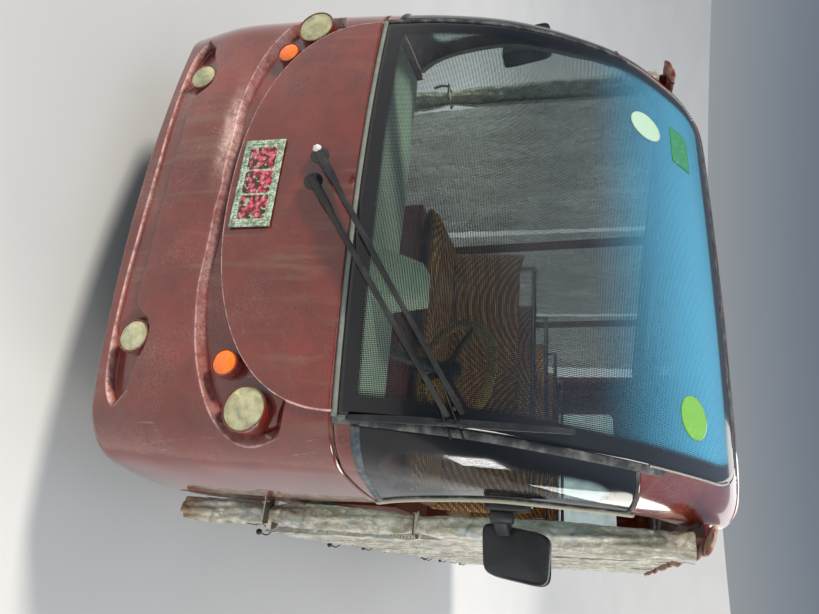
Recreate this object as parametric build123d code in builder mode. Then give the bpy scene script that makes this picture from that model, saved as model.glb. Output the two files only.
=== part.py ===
from build123d import *
import os
from collections import namedtuple
from math import atan2, cos, hypot, pi, radians, sin, sqrt

# Open-sided electric sightseeing bus with five bench rows.
# Millimetres. The front faces -Y, the bus's left side is +X, the ground is z = 0.
# Lengths along the bus are stations: the distance behind the nose tip.

# Overall form
LENGTH = 4900.0
BODY_BOTTOM = 252.0
WAIST = 920.0
EAVE = 1785.0
CROWN = 1956.0
CROWN_RADIUS = 5000.0
SHOULDER_RADIUS = 100.0
ROOF_HALF_WIDTH = 757.0
SIDE_RADIUS = 1600.0
CORNER_RADIUS = 170.0
CORNER_END_DEG = 82.0
REAR_CORNER_RADIUS = 120.0

# Walls and clearances
SKIN = 6.0
GLASS = 6.0
LINING = 30.0
SINK = 20.0
FIT = 0.3
SHAFT_FIT = 0.05

# Plan sections of the body from the sill to the crown of the roof
Level = namedtuple("Level", "z setback half_width side_turn tail")
LOWER_LEVELS = [
    Level(252, 17, 775, 12.0, 16),
    Level(420, 1, 780, 12.0, 0),
    Level(600, 17, 780, 12.0, 3),
    Level(750, 29, 779, 12.0, 10),
    Level(920, 52, 775, 12.0, 22),
]
UPPER_LEVELS = [
    Level(920, 52, 775, 12.0, 22),
    Level(1100, 90, 773, 11.0, 45),
    Level(1300, 159, 767, 8.5, 80),
    Level(1500, 276, 762, 5.5, 125),
    Level(1650, 398, 760, 3.5, 170),
    Level(1780, 560, 757, 3.1, 225),
    Level(1860, 693, 755, 3.0, 290),
    Level(1920, 853, 753, 3.0, 370),
    Level(1960, 1053, 752, 3.0, 480),
]

# Stations of the panel joints
MASK_END = 500.0
FRAME_END = 860.0
TAIL_START = 4400.0

# Windscreen, corner windows and the front edge of the side opening
SCREEN_HALF_LOW = 616.0
SCREEN_HALF_MID = 631.0
SCREEN_HALF_TOP = 652.0
SCREEN_MID = 1257.0
SCREEN_TOP = 1900.0
SCREEN_TOP_CORNER = 70.0
CORNER_WINDOW_EDGE = 662.0
CORNER_WINDOW = [(150, 1000), (240, 1080), (262, 1240), (300, 1350), (430, 1500), (485, 1575), (100, 1600)]
SIDE_OPENING = [
    (500, 900), (445, 960), (400, 1110), (400, 1260), (446, 1390), (520, 1540), (610, 1650), (740, EAVE),
]

# Nose: raised middle panel, lamp recess and lower groove, drawn seen from the front
PANEL_RISE = 8.0
PANEL_HALF = 613.0
PANEL_KNEE = (530, 702)
PANEL_SHOULDER = (588, 785)
PANEL_BOTTOM = 562.0
RECESS_TOP = (618, 802)
RECESS_OUT = (708, 705)
RECESS_LOW = (586, 602)
RECESS_FLAT = (420, 540)
RECESS_BOTTOM = 533.0
GROOVE_TOP = 357.0
GROOVE_BOTTOM = 292.0
GROOVE_IN = (370, 340)
POCKET = [(384, 402), (490, 398), (562, 362), (596, 312)]
GROOVE_LOW = (470, 280)

# Lamps: place seen from the front, lens radius
HEADLAMP = (615, 701)
HEADLAMP_R = 56.0
TURN_LAMP = (504, 634)
TURN_LAMP_R = 33.0
FOG_LAMP = (436, 358)
FOG_LAMP_R = 42.0
BEZEL_WALL = 9.0
LAMPS = [(HEADLAMP, HEADLAMP_R), (TURN_LAMP, TURN_LAMP_R), (FOG_LAMP, FOG_LAMP_R)]
LAMP_STAND = 6.0
LAMP_DEPTH = 80.0
LENS = 14.0
LENS_EDGE = 5.0
TAIL_LAMP = (600, 720)
TAIL_LAMP_R = 50.0

# Running gear
FRONT_AXLE = 900.0
REAR_AXLE = 3600.0
WHEEL_R = 270.0
TYRE_W = 150.0
TYRE_X = 655.0
BEAD_R = 154.0
RIM_INNER_R = 145.0
RIM_W = 118.0
HUB_R = 40.0
HUB_IN = 640.0
HUB_OUT = 702.0
STUB_R = 15.0
KINGPIN_X = 600.0
KINGPIN_R = 9.0
BOSS_R = 18.0
BOSS_LOW = 224.0
BOSS_HIGH = 316.0
YOKE = 14.0
YOKE_GAP = 3.0
ARM_LENGTH = 90.0
TIE_ROD_Z = 206.0
TIE_ROD_R = 7.0
ARCH_R = 320.0
HOUSE_WALL = 5.0
HOUSE_IN = 430.0

# Chassis
RAIL_X = 360.0
RAIL_W = 40.0
RAIL_H = 70.0
RAIL_WALL = 5.0
FLOOR_Z = 385.0
FLOOR = 20.0
FLOOR_HALF = 762.0
SILL_X = 735.0
SILL_W = 40.0

# Seats: five bench rows
ROWS = 5
ROW_FIRST = 1250.0
ROW_PITCH = 720.0
BENCH_HALF = 700.0
CUSHION_DEPTH = 440.0
CUSHION_H = 110.0
CUSHION_Z = 712.0
BACK_H = 430.0
BACK_T = 90.0
BACK_LEAN = 8.0
BOX_WALL = 15.0

# Steering wheel
WHEEL_X = 270.0
WHEEL_STATION = 900.0
WHEEL_Z = 1020.0
WHEEL_LEAN = 35.0
RIM_R = 190.0
GRIP_R = 14.0

os.makedirs("parts", exist_ok=True)


def at(station):
    """Y of a station, which is counted back from the nose tip."""
    return station - LENGTH / 2


def save(part, name):
    """Write one sub-part under its node's name."""
    part.label = name
    export_step(part, f"parts/{name}.step")


def slab(x, y, z, mode=Mode.ADD):
    """Box between two values on each axis."""
    with Locations(((x[0] + x[1]) / 2, (y[0] + y[1]) / 2, (z[0] + z[1]) / 2)):
        Box(abs(x[1] - x[0]), abs(y[1] - y[0]), abs(z[1] - z[0]), mode=mode)


def rod(start, end, radius, mode=Mode.ADD):
    """Round bar between two points."""
    start, end = Vector(*start), Vector(*end)
    with Locations(Plane(origin=(start + end) * 0.5, z_dir=end - start)):
        Cylinder(radius, (end - start).length, mode=mode)


def bent_rod(points, radius):
    """Round bar through several points, with a ball at each corner."""
    for start, end in zip(points, points[1:]):
        rod(start, end, radius)
    for corner in points[1:-1]:
        with Locations(corner):
            Sphere(radius)


# Body skins

def plan_centres(level):
    """Centres and radii of the side, corner and nose arcs of one plan section."""
    turn = radians(level.side_turn)
    end = radians(CORNER_END_DEG)
    spread = SIDE_RADIUS - CORNER_RADIUS
    nose_radius = CORNER_RADIUS + (level.half_width - SIDE_RADIUS + spread * cos(turn)) / cos(end)
    station = level.setback + spread * sin(turn) + (CORNER_RADIUS - nose_radius) * sin(end) + nose_radius
    side = (level.half_width - SIDE_RADIUS, station)
    corner = (side[0] + spread * cos(turn), station - spread * sin(turn))
    nose = (0.0, level.setback + nose_radius)
    return side, corner, nose, nose_radius, turn, end


def plan_section(level, depth, z):
    """Plan section at one height: one arc over the nose, a corner and a side arc each side, straight
    sides, and a straight tail with round corners. Depth moves the whole outline inwards."""
    side, corner, nose, nose_radius, turn, end = plan_centres(level)

    def on(centre, radius, angle):
        return centre[0] + (radius - depth) * cos(angle), at(centre[1] - (radius - depth) * sin(angle))

    def flip(point):
        return -point[0], point[1]

    tail = at(LENGTH - level.tail - depth)
    tail_radius = REAR_CORNER_RADIUS - depth
    half = level.half_width - depth
    diagonal = tail_radius * (1 - sqrt(0.5))
    front = [
        (on(side, SIDE_RADIUS, 0), on(side, SIDE_RADIUS, turn / 2), on(side, SIDE_RADIUS, turn)),
        [on(corner, CORNER_RADIUS, angle) for angle in (turn, (turn + end) / 2, end)],
    ]
    rear = ((half - tail_radius, tail), (half - diagonal, tail - diagonal), (half, tail - tail_radius))
    with BuildSketch(Plane.XY.offset(z)) as section:
        with BuildLine():
            ThreePointArc(*rear)
            Line(rear[2], front[0][0])
            ThreePointArc(*front[0])
            ThreePointArc(*front[1])
            ThreePointArc(front[1][2], (0, at(level.setback + depth)), flip(front[1][2]))
            ThreePointArc(*[flip(p) for p in reversed(front[1])])
            ThreePointArc(*[flip(p) for p in reversed(front[0])])
            Line(flip(front[0][0]), flip(rear[2]))
            ThreePointArc(*[flip(p) for p in reversed(rear)])
            Line(flip(rear[0]), rear[0])
        make_face()
    return section.sketch


def lean(levels, index):
    """Share of a wall's thickness that points forward and upward at one level of the nose."""
    low = levels[max(index - 1, 0)]
    high = levels[min(index + 1, len(levels) - 1)]
    slope = (high.setback - low.setback) / (high.z - low.z)
    return 1 / hypot(1, slope), slope / hypot(1, slope)


def hull(levels, depth):
    """Solid inside the skin that passes through the levels, moved in by depth square to the nose."""
    sections = []
    for index, level in enumerate(levels):
        forward, upward = lean(levels, index)
        if levels is LOWER_LEVELS:
            forward, upward = 1.0, 0.0
        sections.append(plan_section(level, depth * forward, level.z - depth * upward))
    with BuildPart() as body:
        loft(sections)
    return body.part


def roof_arch(depth):
    """Long solid under the roof's cross-section: crown arc, shoulder arcs and upright sides."""
    centre_z = CROWN - CROWN_RADIUS
    shoulder_x = ROOF_HALF_WIDTH - SHOULDER_RADIUS
    crown = CROWN_RADIUS - SHOULDER_RADIUS
    shoulder_z = centre_z + sqrt(crown * crown - shoulder_x * shoulder_x)
    tangent = atan2(shoulder_z - centre_z, shoulder_x)
    radius = SHOULDER_RADIUS - depth
    top = (shoulder_x + radius * cos(tangent), shoulder_z + radius * sin(tangent))
    middle = (shoulder_x + radius * cos(tangent / 2), shoulder_z + radius * sin(tangent / 2))
    side = (shoulder_x + radius, shoulder_z)
    foot = (side[0], 0)
    with BuildPart() as arch:
        with BuildSketch(Plane.XZ.offset(-at(-100))):
            with BuildLine():
                Line(foot, side)
                ThreePointArc(side, middle, top)
                ThreePointArc(top, (0, CROWN - depth), (-top[0], top[1]))
                ThreePointArc((-top[0], top[1]), (-middle[0], middle[1]), (-side[0], side[1]))
                Line((-side[0], side[1]), (-foot[0], 0))
                Line((-foot[0], 0), foot)
            make_face()
        extrude(amount=-(LENGTH + 200))
    return arch.part


def level_at(z):
    """Plan section at any height: a cubic curve through the table's rows."""
    levels = LOWER_LEVELS if z < WAIST else UPPER_LEVELS
    last = len(levels) - 1
    low = next(index for index in range(last) if levels[index + 1].z >= z)
    step = levels[low + 1].z - levels[low].z
    share = (z - levels[low].z) / step

    def slope(index, field):
        before, after = levels[max(index - 1, 0)], levels[min(index + 1, last)]
        return (after[field] - before[field]) / (after.z - before.z) * step

    def value(field):
        start, end = levels[low][field], levels[low + 1][field]
        return (start * (1 + 2 * share) * (1 - share) ** 2 + slope(low, field) * share * (1 - share) ** 2
                + end * share ** 2 * (3 - 2 * share) + slope(low + 1, field) * share ** 2 * (share - 1))

    return Level(z, *[value(field) for field in range(1, 5)])


def front_station(x, z):
    """Station of the nose's outer face at one place seen from the front."""
    level = level_at(z)
    side, corner, nose, nose_radius, turn, end = plan_centres(level)
    x = abs(x)
    for centre, radius, limit in (
        (nose, nose_radius, nose_radius * cos(end)),
        (corner, CORNER_RADIUS, corner[0] + CORNER_RADIUS * cos(turn)),
        (side, SIDE_RADIUS, level.half_width),
    ):
        if x <= limit:
            return centre[1] - sqrt(radius ** 2 - (x - centre[0]) ** 2)
    return MASK_END


def front_prism(outline, start, end):
    """Solid behind an outline that is drawn seen from the front, between two stations."""
    with BuildPart() as prism:
        with BuildSketch(Plane.XZ.offset(-at(end))):
            add(outline)
        extrude(amount=end - start)
    return prism.part


def side_prism(points, inner, outer):
    """Solids on both sides of the bus over an outline of stations and heights."""
    with BuildPart() as prism:
        with BuildSketch(Plane.YZ.offset(inner)):
            with BuildLine():
                Polyline(*[(at(station), z) for station, z in points], close=True)
            make_face()
        extrude(amount=outer - inner)
        mirror(about=Plane.YZ)
    return prism.part


def section_between(solid, stations, heights):
    """Part of a solid between two stations and two heights."""
    wide = 1000.0
    with BuildPart() as piece:
        add(solid)
        slab_mid = ((at(stations[0]) + at(stations[1])) / 2, (heights[0] + heights[1]) / 2)
        with Locations((0, slab_mid[0], slab_mid[1])):
            Box(2 * wide, stations[1] - stations[0], heights[1] - heights[0], mode=Mode.INTERSECT)
    return piece.part


def wall_between(outer, inner, stations, heights):
    """Wall left between two nested solids, within two stations and two heights."""
    past = 20
    stretch = (stations[0] - past, stations[1] + past)
    hollow = section_between(inner, stretch, (heights[0] - past, heights[1] + past))
    with BuildPart() as wall:
        add(section_between(outer, stations, heights))
        add(hollow, mode=Mode.SUBTRACT)
    return wall.part


# Outlines seen from the front

def mirrored_outline(points):
    """Closed polyline through points on the +X side, from the bottom up, and their mirror images."""
    with BuildSketch() as outline:
        with BuildLine():
            Polyline(*points, *[(-x, z) for x, z in reversed(points)], close=True)
        make_face()
    return outline.sketch


def screen_outline(shrink, bottom):
    """Windscreen, wider at the top, with round top corners."""
    with BuildSketch() as outline:
        add(mirrored_outline([
            (SCREEN_HALF_LOW - shrink, bottom),
            (SCREEN_HALF_MID - shrink, SCREEN_MID),
            (SCREEN_HALF_TOP - shrink, SCREEN_TOP - shrink),
        ]))
        top = outline.vertices().sort_by(Axis.Y)[-2:]
        fillet(top, SCREEN_TOP_CORNER)
    return outline.sketch


def panel_outline(shrink):
    """Raised middle panel of the nose, a deep U below the windscreen."""
    knee = (PANEL_KNEE[0] - shrink, PANEL_KNEE[1] + shrink)
    shoulder = (PANEL_SHOULDER[0] - shrink, PANEL_SHOULDER[1])
    top = (PANEL_HALF - shrink, WAIST + 1)
    with BuildSketch() as outline:
        with BuildLine():
            Polyline((-top[0], top[1]), top, (top[0], 870))
            ThreePointArc((top[0], 870), shoulder, knee)
            ThreePointArc(knee, (0, PANEL_BOTTOM + shrink), (-knee[0], knee[1]))
            ThreePointArc((-knee[0], knee[1]), (-shoulder[0], shoulder[1]), (-top[0], 870))
            Line((-top[0], 870), (-top[0], top[1]))
        make_face()
    return outline.sketch


def recess_outline(grow):
    """Lamp recess: a long shallow smile whose ends run up round the headlamps."""
    low = (RECESS_LOW[0] + grow, RECESS_LOW[1] - grow)
    out = (RECESS_OUT[0] + grow, RECESS_OUT[1])
    top = (RECESS_TOP[0], RECESS_TOP[1] + grow)
    flat = (RECESS_FLAT[0], RECESS_FLAT[1] - grow)
    with BuildSketch() as outline:
        with BuildLine():
            Line((0, top[1] - 40), (560, top[1] - 40))
            Line((560, top[1] - 40), top)
            ThreePointArc(top, (out[0] - 24, top[1] - 26), out)
            ThreePointArc(out, low, flat)
            ThreePointArc(flat, (flat[0] / 2, RECESS_BOTTOM + 2 - grow), (0, RECESS_BOTTOM - grow))
            Line((0, RECESS_BOTTOM - grow), (0, top[1] - 40))
        make_face()
        mirror(about=Plane.YZ)
    return outline.sketch


def groove_outline(grow):
    """Lower groove that opens into a crescent pocket round each fog lamp."""
    pocket = [(x, z + grow) for x, z in POCKET[:2]] + [(x + grow, z) for x, z in POCKET[2:]]
    inner = (GROOVE_IN[0] - grow, GROOVE_IN[1] + grow)
    low = (GROOVE_LOW[0], GROOVE_LOW[1] - grow)
    with BuildSketch() as outline:
        with BuildLine():
            ThreePointArc((0, GROOVE_TOP + grow), (GROOVE_IN[0] / 2, GROOVE_TOP - 4 + grow), inner)
            Polyline(inner, *pocket, low)
            Line(low, (0, GROOVE_BOTTOM - grow))
            Line((0, GROOVE_BOTTOM - grow), (0, GROOVE_TOP + grow))
        make_face()
        mirror(about=Plane.YZ)
    return outline.sketch


# Skins: outer and inner form of the lower body, lined shell and glass shell of the upper body
lower_outer = hull(LOWER_LEVELS, 0)
lower_inner = hull(LOWER_LEVELS, SKIN)
upper_outer = hull(UPPER_LEVELS, 0) & roof_arch(0)
upper_lining = hull(UPPER_LEVELS, LINING) & roof_arch(LINING)
upper_glass = hull(UPPER_LEVELS, GLASS) & roof_arch(GLASS)

recess = front_prism(recess_outline(0), -50, 400) - front_prism(panel_outline(0), -60, 410)
recess_back = front_prism(recess_outline(SKIN), -50, 400) - front_prism(panel_outline(SKIN), -60, 410)
groove = front_prism(groove_outline(0), -50, 400)
groove_back = front_prism(groove_outline(SKIN), -50, 400)
sunk_hull = hull(LOWER_LEVELS, SINK)
sunk_back_hull = hull(LOWER_LEVELS, SINK + SKIN)
panel = front_prism(panel_outline(0), -50, 400) & hull(LOWER_LEVELS, -PANEL_RISE)

with BuildPart() as nose_mask:
    add(lower_outer)
    add(recess - sunk_hull, mode=Mode.SUBTRACT)
    add(groove - sunk_hull, mode=Mode.SUBTRACT)
    add(panel)
    add(lower_inner - (recess_back - sunk_back_hull) - (groove_back - sunk_back_hull), mode=Mode.SUBTRACT)
    for (x, z), radius in LAMPS:
        for sign in (1, -1):
            start = at(front_station(x, z) - 60)
            rod((sign * x, start, z), (sign * x, start + 300, z), radius + BEZEL_WALL + FIT, mode=Mode.SUBTRACT)
    slab((-1000, 1000), (at(MASK_END), at(LENGTH + 100)), (0, 1000), mode=Mode.SUBTRACT)
save(nose_mask.part, "nose_mask")


def lamp_parts(places, stand, depth):
    """Cups with a closed back that hold the lamps, and the lenses that close them."""
    with BuildPart() as cups:
        for (x, z), radius in places:
            front = at(front_station(x, z) - stand)
            for sign in (1, -1):
                rod((sign * x, front, z), (sign * x, front + depth, z), radius + BEZEL_WALL)
                rod((sign * x, front, z), (sign * x, front + LENS, z), radius + FIT, mode=Mode.SUBTRACT)
                rod((sign * x, front, z), (sign * x, front + depth - SKIN, z), radius - SKIN, mode=Mode.SUBTRACT)
    return cups.part


save(lamp_parts(LAMPS, LAMP_STAND, LAMP_DEPTH), "lamp_housings")
for (x, z), radius, name in (
    (*LAMPS[0], "headlamp_lenses"), (*LAMPS[1], "turn_lamp_lenses"), (*LAMPS[2], "fog_lamp_lenses"),
):
    front = at(front_station(x, z) - LAMP_STAND)
    with BuildPart() as lenses:
        for sign in (1, -1):
            rod((sign * x, front, z), (sign * x, front + LENS, z), radius)
        fillet(lenses.edges().filter_by(GeomType.CIRCLE).group_by(Axis.Y)[0], LENS_EDGE)
    save(lenses.part, name)

# Upper body: frame round the front windows, glass, roof and tail

corner_window = side_prism(CORNER_WINDOW, CORNER_WINDOW_EDGE, 900)
side_opening = side_prism([*SIDE_OPENING, (TAIL_START, EAVE), (TAIL_START, 900)], 600, 900)
screen_opening = front_prism(screen_outline(0, WAIST - 40), -100, FRAME_END)

with BuildPart() as front_frame:
    add(wall_between(upper_outer, upper_lining, (-100, FRAME_END), (WAIST, 2000)))
    add(screen_opening, mode=Mode.SUBTRACT)
    add(corner_window, mode=Mode.SUBTRACT)
    add(side_opening, mode=Mode.SUBTRACT)
save(front_frame.part, "front_frame")

SCREEN_SEAL = 4.0
with BuildPart() as windscreen:
    add(wall_between(upper_outer, upper_glass, (-100, FRAME_END), (WAIST, 2000)))
    add(front_prism(screen_outline(FIT, WAIST + SCREEN_SEAL), -100, FRAME_END - 1), mode=Mode.INTERSECT)
save(windscreen.part, "windscreen")

with BuildPart() as corner_windows:
    add(wall_between(upper_outer, upper_glass, (-100, FRAME_END), (WAIST, 2000)))
    add(corner_window, mode=Mode.INTERSECT)
save(corner_windows.part, "corner_windows")

with BuildPart() as roof_panel:
    add(wall_between(upper_outer, upper_lining, (FRAME_END, TAIL_START), (EAVE, 2000)))
save(roof_panel.part, "roof_panel")

REAR_WINDOW = [(540, 1040), (520, 1600)]
REAR_WINDOW_CORNER = 60.0


def rear_window_outline(shrink):
    """Rear window, narrower at the top, with round corners."""
    (low_x, low_z), (high_x, high_z) = REAR_WINDOW
    with BuildSketch() as outline:
        add(mirrored_outline([(low_x - shrink, low_z + shrink), (high_x - shrink, high_z - shrink)]))
        fillet(outline.vertices(), REAR_WINDOW_CORNER)
    return outline.sketch


with BuildPart() as rear_frame:
    add(wall_between(upper_outer, upper_lining, (TAIL_START, LENGTH + 100), (WAIST, 2000)))
    add(front_prism(rear_window_outline(0), TAIL_START + 10, LENGTH + 100), mode=Mode.SUBTRACT)
save(rear_frame.part, "rear_frame")

with BuildPart() as rear_window:
    add(wall_between(upper_outer, upper_glass, (TAIL_START + 10, LENGTH + 100), (WAIST, 2000)))
    add(front_prism(rear_window_outline(FIT), TAIL_START + 10, LENGTH + 100), mode=Mode.INTERSECT)
save(rear_window.part, "rear_window")

# Tail: mask with a service flap hinged along its top edge

FLAP = (430, 450, 800)
FLAP_GAP = 8.0
FLAP_CORNER = 30.0
HINGE_R = 8.0
HINGE_GAP = 3.0
HINGE_PIN_R = 4.0
HINGE_X = 280.0
HINGE_W = 40.0
EAR = 10.0
EAR_RISE = 30.0
tail_station = LENGTH - 12


def flap_outline(grow, rise):
    """Service flap in the tail mask, grown at its sides and foot, and raised at its top edge."""
    half, low, high = FLAP
    with BuildSketch() as outline:
        with Locations((0, (low - grow + high + rise) / 2)):
            RectangleRounded(2 * (half + grow), high + rise - low + grow, FLAP_CORNER)
    return outline.sketch


hinge_z = FLAP[2] + HINGE_R + HINGE_GAP
hinge_y = at(tail_station + 2)
with BuildPart() as rear_mask:
    add(wall_between(lower_outer, lower_inner, (TAIL_START, LENGTH + 100), (BODY_BOTTOM - 10, WAIST)))
    opening = flap_outline(FLAP_GAP, 2 * (HINGE_R + HINGE_GAP))
    add(front_prism(opening, TAIL_START + 100, LENGTH + 100), mode=Mode.SUBTRACT)
    for sign in (1, -1):
        x = sign * TAIL_LAMP[0]
        rod((x, at(LENGTH - 200), TAIL_LAMP[1]), (x, at(LENGTH + 10), TAIL_LAMP[1]), TAIL_LAMP_R + FIT,
            mode=Mode.SUBTRACT)
        for side in (1, -1):
            inner = sign * HINGE_X + side * (HINGE_W / 2 + FIT)
            outer = inner + side * EAR
            slab((inner, outer), (at(tail_station - 8), hinge_y), (hinge_z, hinge_z + EAR_RISE))
            rod((inner, hinge_y, hinge_z), (outer, hinge_y, hinge_z), HINGE_R)
        rod((sign * HINGE_X - HINGE_W / 2 - EAR, hinge_y, hinge_z),
            (sign * HINGE_X + HINGE_W / 2 + EAR, hinge_y, hinge_z), HINGE_PIN_R)
save(rear_mask.part, "rear_mask")

with BuildPart() as rear_flap:
    add(wall_between(lower_outer, lower_inner, (TAIL_START + 200, LENGTH + 100), (BODY_BOTTOM, WAIST)))
    add(front_prism(flap_outline(0, 0), TAIL_START + 200, LENGTH + 100), mode=Mode.INTERSECT)
    for sign in (1, -1):
        inner = sign * HINGE_X - HINGE_W / 2
        slab((inner, inner + HINGE_W), (at(tail_station - 6), hinge_y), (hinge_z - 34, hinge_z))
        rod((inner, hinge_y, hinge_z), (inner + HINGE_W, hinge_y, hinge_z), HINGE_R)
        rod((inner, hinge_y, hinge_z), (inner + HINGE_W, hinge_y, hinge_z), HINGE_PIN_R + SHAFT_FIT,
            mode=Mode.SUBTRACT)
save(rear_flap.part, "rear_flap")

with BuildPart() as tail_lamps:
    for sign in (1, -1):
        x = sign * TAIL_LAMP[0]
        rod((x, at(LENGTH - 60), TAIL_LAMP[1]), (x, at(LENGTH - 3), TAIL_LAMP[1]), TAIL_LAMP_R)
save(tail_lamps.part, "tail_lamps")

# Side skirts with wheel openings, and the wheel houses behind them

HUMP_TOP = 625.0
SKIRT_TOP = 430.0
HUMP_HALF = 350.0
hump_front = FRONT_AXLE + HUMP_HALF
hump_rear = REAR_AXLE - HUMP_HALF
skirt_points = [
    (MASK_END, 200), (MASK_END, HUMP_TOP), (hump_front - 40, HUMP_TOP), (hump_front, HUMP_TOP - 60),
    (hump_front + 30, SKIRT_TOP), (hump_rear - 30, SKIRT_TOP), (hump_rear, HUMP_TOP - 60),
    (hump_rear + 40, HUMP_TOP), (TAIL_START, HUMP_TOP), (TAIL_START, 200),
]
with BuildPart() as side_skirts:
    add(wall_between(lower_outer, lower_inner, (MASK_END, TAIL_START), (BODY_BOTTOM - 10, WAIST)))
    add(side_prism(skirt_points, 600, 900), mode=Mode.INTERSECT)
    for station in (FRONT_AXLE, REAR_AXLE):
        rod((-900, at(station), WHEEL_R), (900, at(station), WHEEL_R), ARCH_R, mode=Mode.SUBTRACT)
save(side_skirts.part, "side_skirts")

HOUSE_OUT = 766.0
with BuildPart() as wheel_houses:
    for station in (FRONT_AXLE, REAR_AXLE):
        for sign in (1, -1):
            centre = at(station)
            inner, outer = sign * HOUSE_IN, sign * HOUSE_OUT
            rod((inner, centre, WHEEL_R), (outer, centre, WHEEL_R), ARCH_R + HOUSE_WALL)
            rod((inner + sign * HOUSE_WALL, centre, WHEEL_R), (outer + sign * 100, centre, WHEEL_R), ARCH_R,
                mode=Mode.SUBTRACT)
    slab((-900, 900), (at(0), at(LENGTH)), (-100, FLOOR_Z), mode=Mode.SUBTRACT)
save(wheel_houses.part, "wheel_houses")

# Chassis: two channel rails, cross-members, outriggers, side sills, pads and tow lugs

RAIL_FRONT = 110.0
RAIL_REAR = 4780.0
CROSS = [(130, 60), (520, 50), (1300, 50), (2100, 50), (2900, 50), (3200, 50), (4020, 50), (4740, 60)]
OUTRIGGERS = [1320, 2000, 2640, 3180, 4040, 4400]
SILLS = [(1300, 3200), (4020, 4420)]
PAD = (120, 90, 10)
PAD_STATIONS = (1450, 3050)
TOW_HOLE_R = 12.0
TOW_LUG = (60, 14)
TOW_Z = 262.0
RAIL_LOW = FLOOR_Z - RAIL_H
OUTRIGGER_W = 40.0
SILL_H = 40.0
with BuildPart() as rails:
    for sign in (1, -1):
        inner = sign * (RAIL_X - RAIL_W / 2)
        outer = sign * (RAIL_X + RAIL_W / 2)
        slab((inner, outer), (at(RAIL_FRONT), at(RAIL_REAR)), (RAIL_LOW, FLOOR_Z))
        slab((inner - sign, outer - sign * RAIL_WALL), (at(RAIL_FRONT), at(RAIL_REAR)),
             (RAIL_LOW + RAIL_WALL, FLOOR_Z - RAIL_WALL), mode=Mode.SUBTRACT)

with BuildPart() as outriggers:
    for sign in (1, -1):
        for station in OUTRIGGERS:
            slab((sign * (RAIL_X + RAIL_W / 2), sign * (SILL_X - SILL_W)),
                 (at(station - OUTRIGGER_W / 2), at(station + OUTRIGGER_W / 2)), (FLOOR_Z - SILL_H, FLOOR_Z))

with BuildPart() as side_sills:
    for sign in (1, -1):
        for start, end in SILLS:
            slab((sign * (SILL_X - SILL_W), sign * SILL_X), (at(start), at(end)), (FLOOR_Z - SILL_H, FLOOR_Z))

with BuildPart() as lift_pads:
    for sign in (1, -1):
        for station in PAD_STATIONS:
            slab((sign * (RAIL_X - PAD[0] / 2), sign * (RAIL_X + PAD[0] / 2)),
                 (at(station - PAD[1] / 2), at(station + PAD[1] / 2)), (RAIL_LOW - PAD[2], RAIL_LOW))

with BuildPart() as cross_members:
    web = RAIL_X + RAIL_W / 2 - RAIL_WALL
    for station, width in CROSS:
        slab((-web, web), (at(station - width / 2), at(station + width / 2)),
             (RAIL_LOW + RAIL_WALL, FLOOR_Z - RAIL_WALL))
    for station, width in (CROSS[0], CROSS[-1]):
        slab((-TOW_LUG[0] / 2, TOW_LUG[0] / 2), (at(station - width / 2), at(station + width / 2)),
             (TOW_Z, RAIL_LOW + RAIL_WALL))
        slab((-TOW_LUG[0], TOW_LUG[0]), (at(station - width), at(station + width)), (TOW_Z, TOW_Z + TOW_LUG[1]))
        rod((0, at(station), 0), (0, at(station), RAIL_LOW), TOW_HOLE_R, mode=Mode.SUBTRACT)

chassis_members = [rails, outriggers, side_sills, lift_pads, cross_members]
save(Compound([solid for members in chassis_members for solid in members.solids()]), "chassis_frame")

FLOOR_FRONT = 150.0
with BuildPart() as floor_pan:
    add(section_between(hull(LOWER_LEVELS, SKIN + FIT), (FLOOR_FRONT, LENGTH - 60), (FLOOR_Z, FLOOR_Z + FLOOR)))
    for station in (FRONT_AXLE, REAR_AXLE):
        for sign in (1, -1):
            rod((sign * (HOUSE_IN - FIT), at(station), WHEEL_R), (sign * 900, at(station), WHEEL_R),
                ARCH_R + HOUSE_WALL + FIT, mode=Mode.SUBTRACT)
save(floor_pan.part, "floor_pan")

# Side frames: eave channel that carries the curtains, and the roof posts

POST = 34.0
POST_STATIONS = [1830, 3000, 4350]
EAVE_CHANNEL = (757.5, 800.0)
EAVE_FLANGE = (1788.0, 1800.0)
EAVE_LIP = 6.0
EAVE_LIP_Z = 1765.0
EAVE_START = 690.0
with BuildPart() as side_frames:
    for sign in (1, -1):
        post_x = (sign * (EAVE_CHANNEL[0] - 4 - POST), sign * (EAVE_CHANNEL[0] - 4))
        slab((post_x[0], post_x[1]), (at(FRAME_END), at(TAIL_START)), (EAVE - 12, EAVE))
        for station in POST_STATIONS:
            slab(post_x, (at(station - POST / 2), at(station + POST / 2)), (FLOOR_Z + FLOOR, EAVE - 12))
save(side_frames.part, "side_frames")

with BuildPart() as curtain_channels:
    for sign in (1, -1):
        slab((sign * EAVE_CHANNEL[0], sign * EAVE_CHANNEL[1]), (at(EAVE_START), at(TAIL_START)), EAVE_FLANGE)
        slab((sign * (EAVE_CHANNEL[1] - EAVE_LIP), sign * EAVE_CHANNEL[1]), (at(EAVE_START), at(TAIL_START)),
             (EAVE_LIP_Z, EAVE_FLANGE[1]))
save(curtain_channels.part, "curtain_channels")

# Curtains: clear sheets that hang from the channel, and the front ones gathered into bundles

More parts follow.
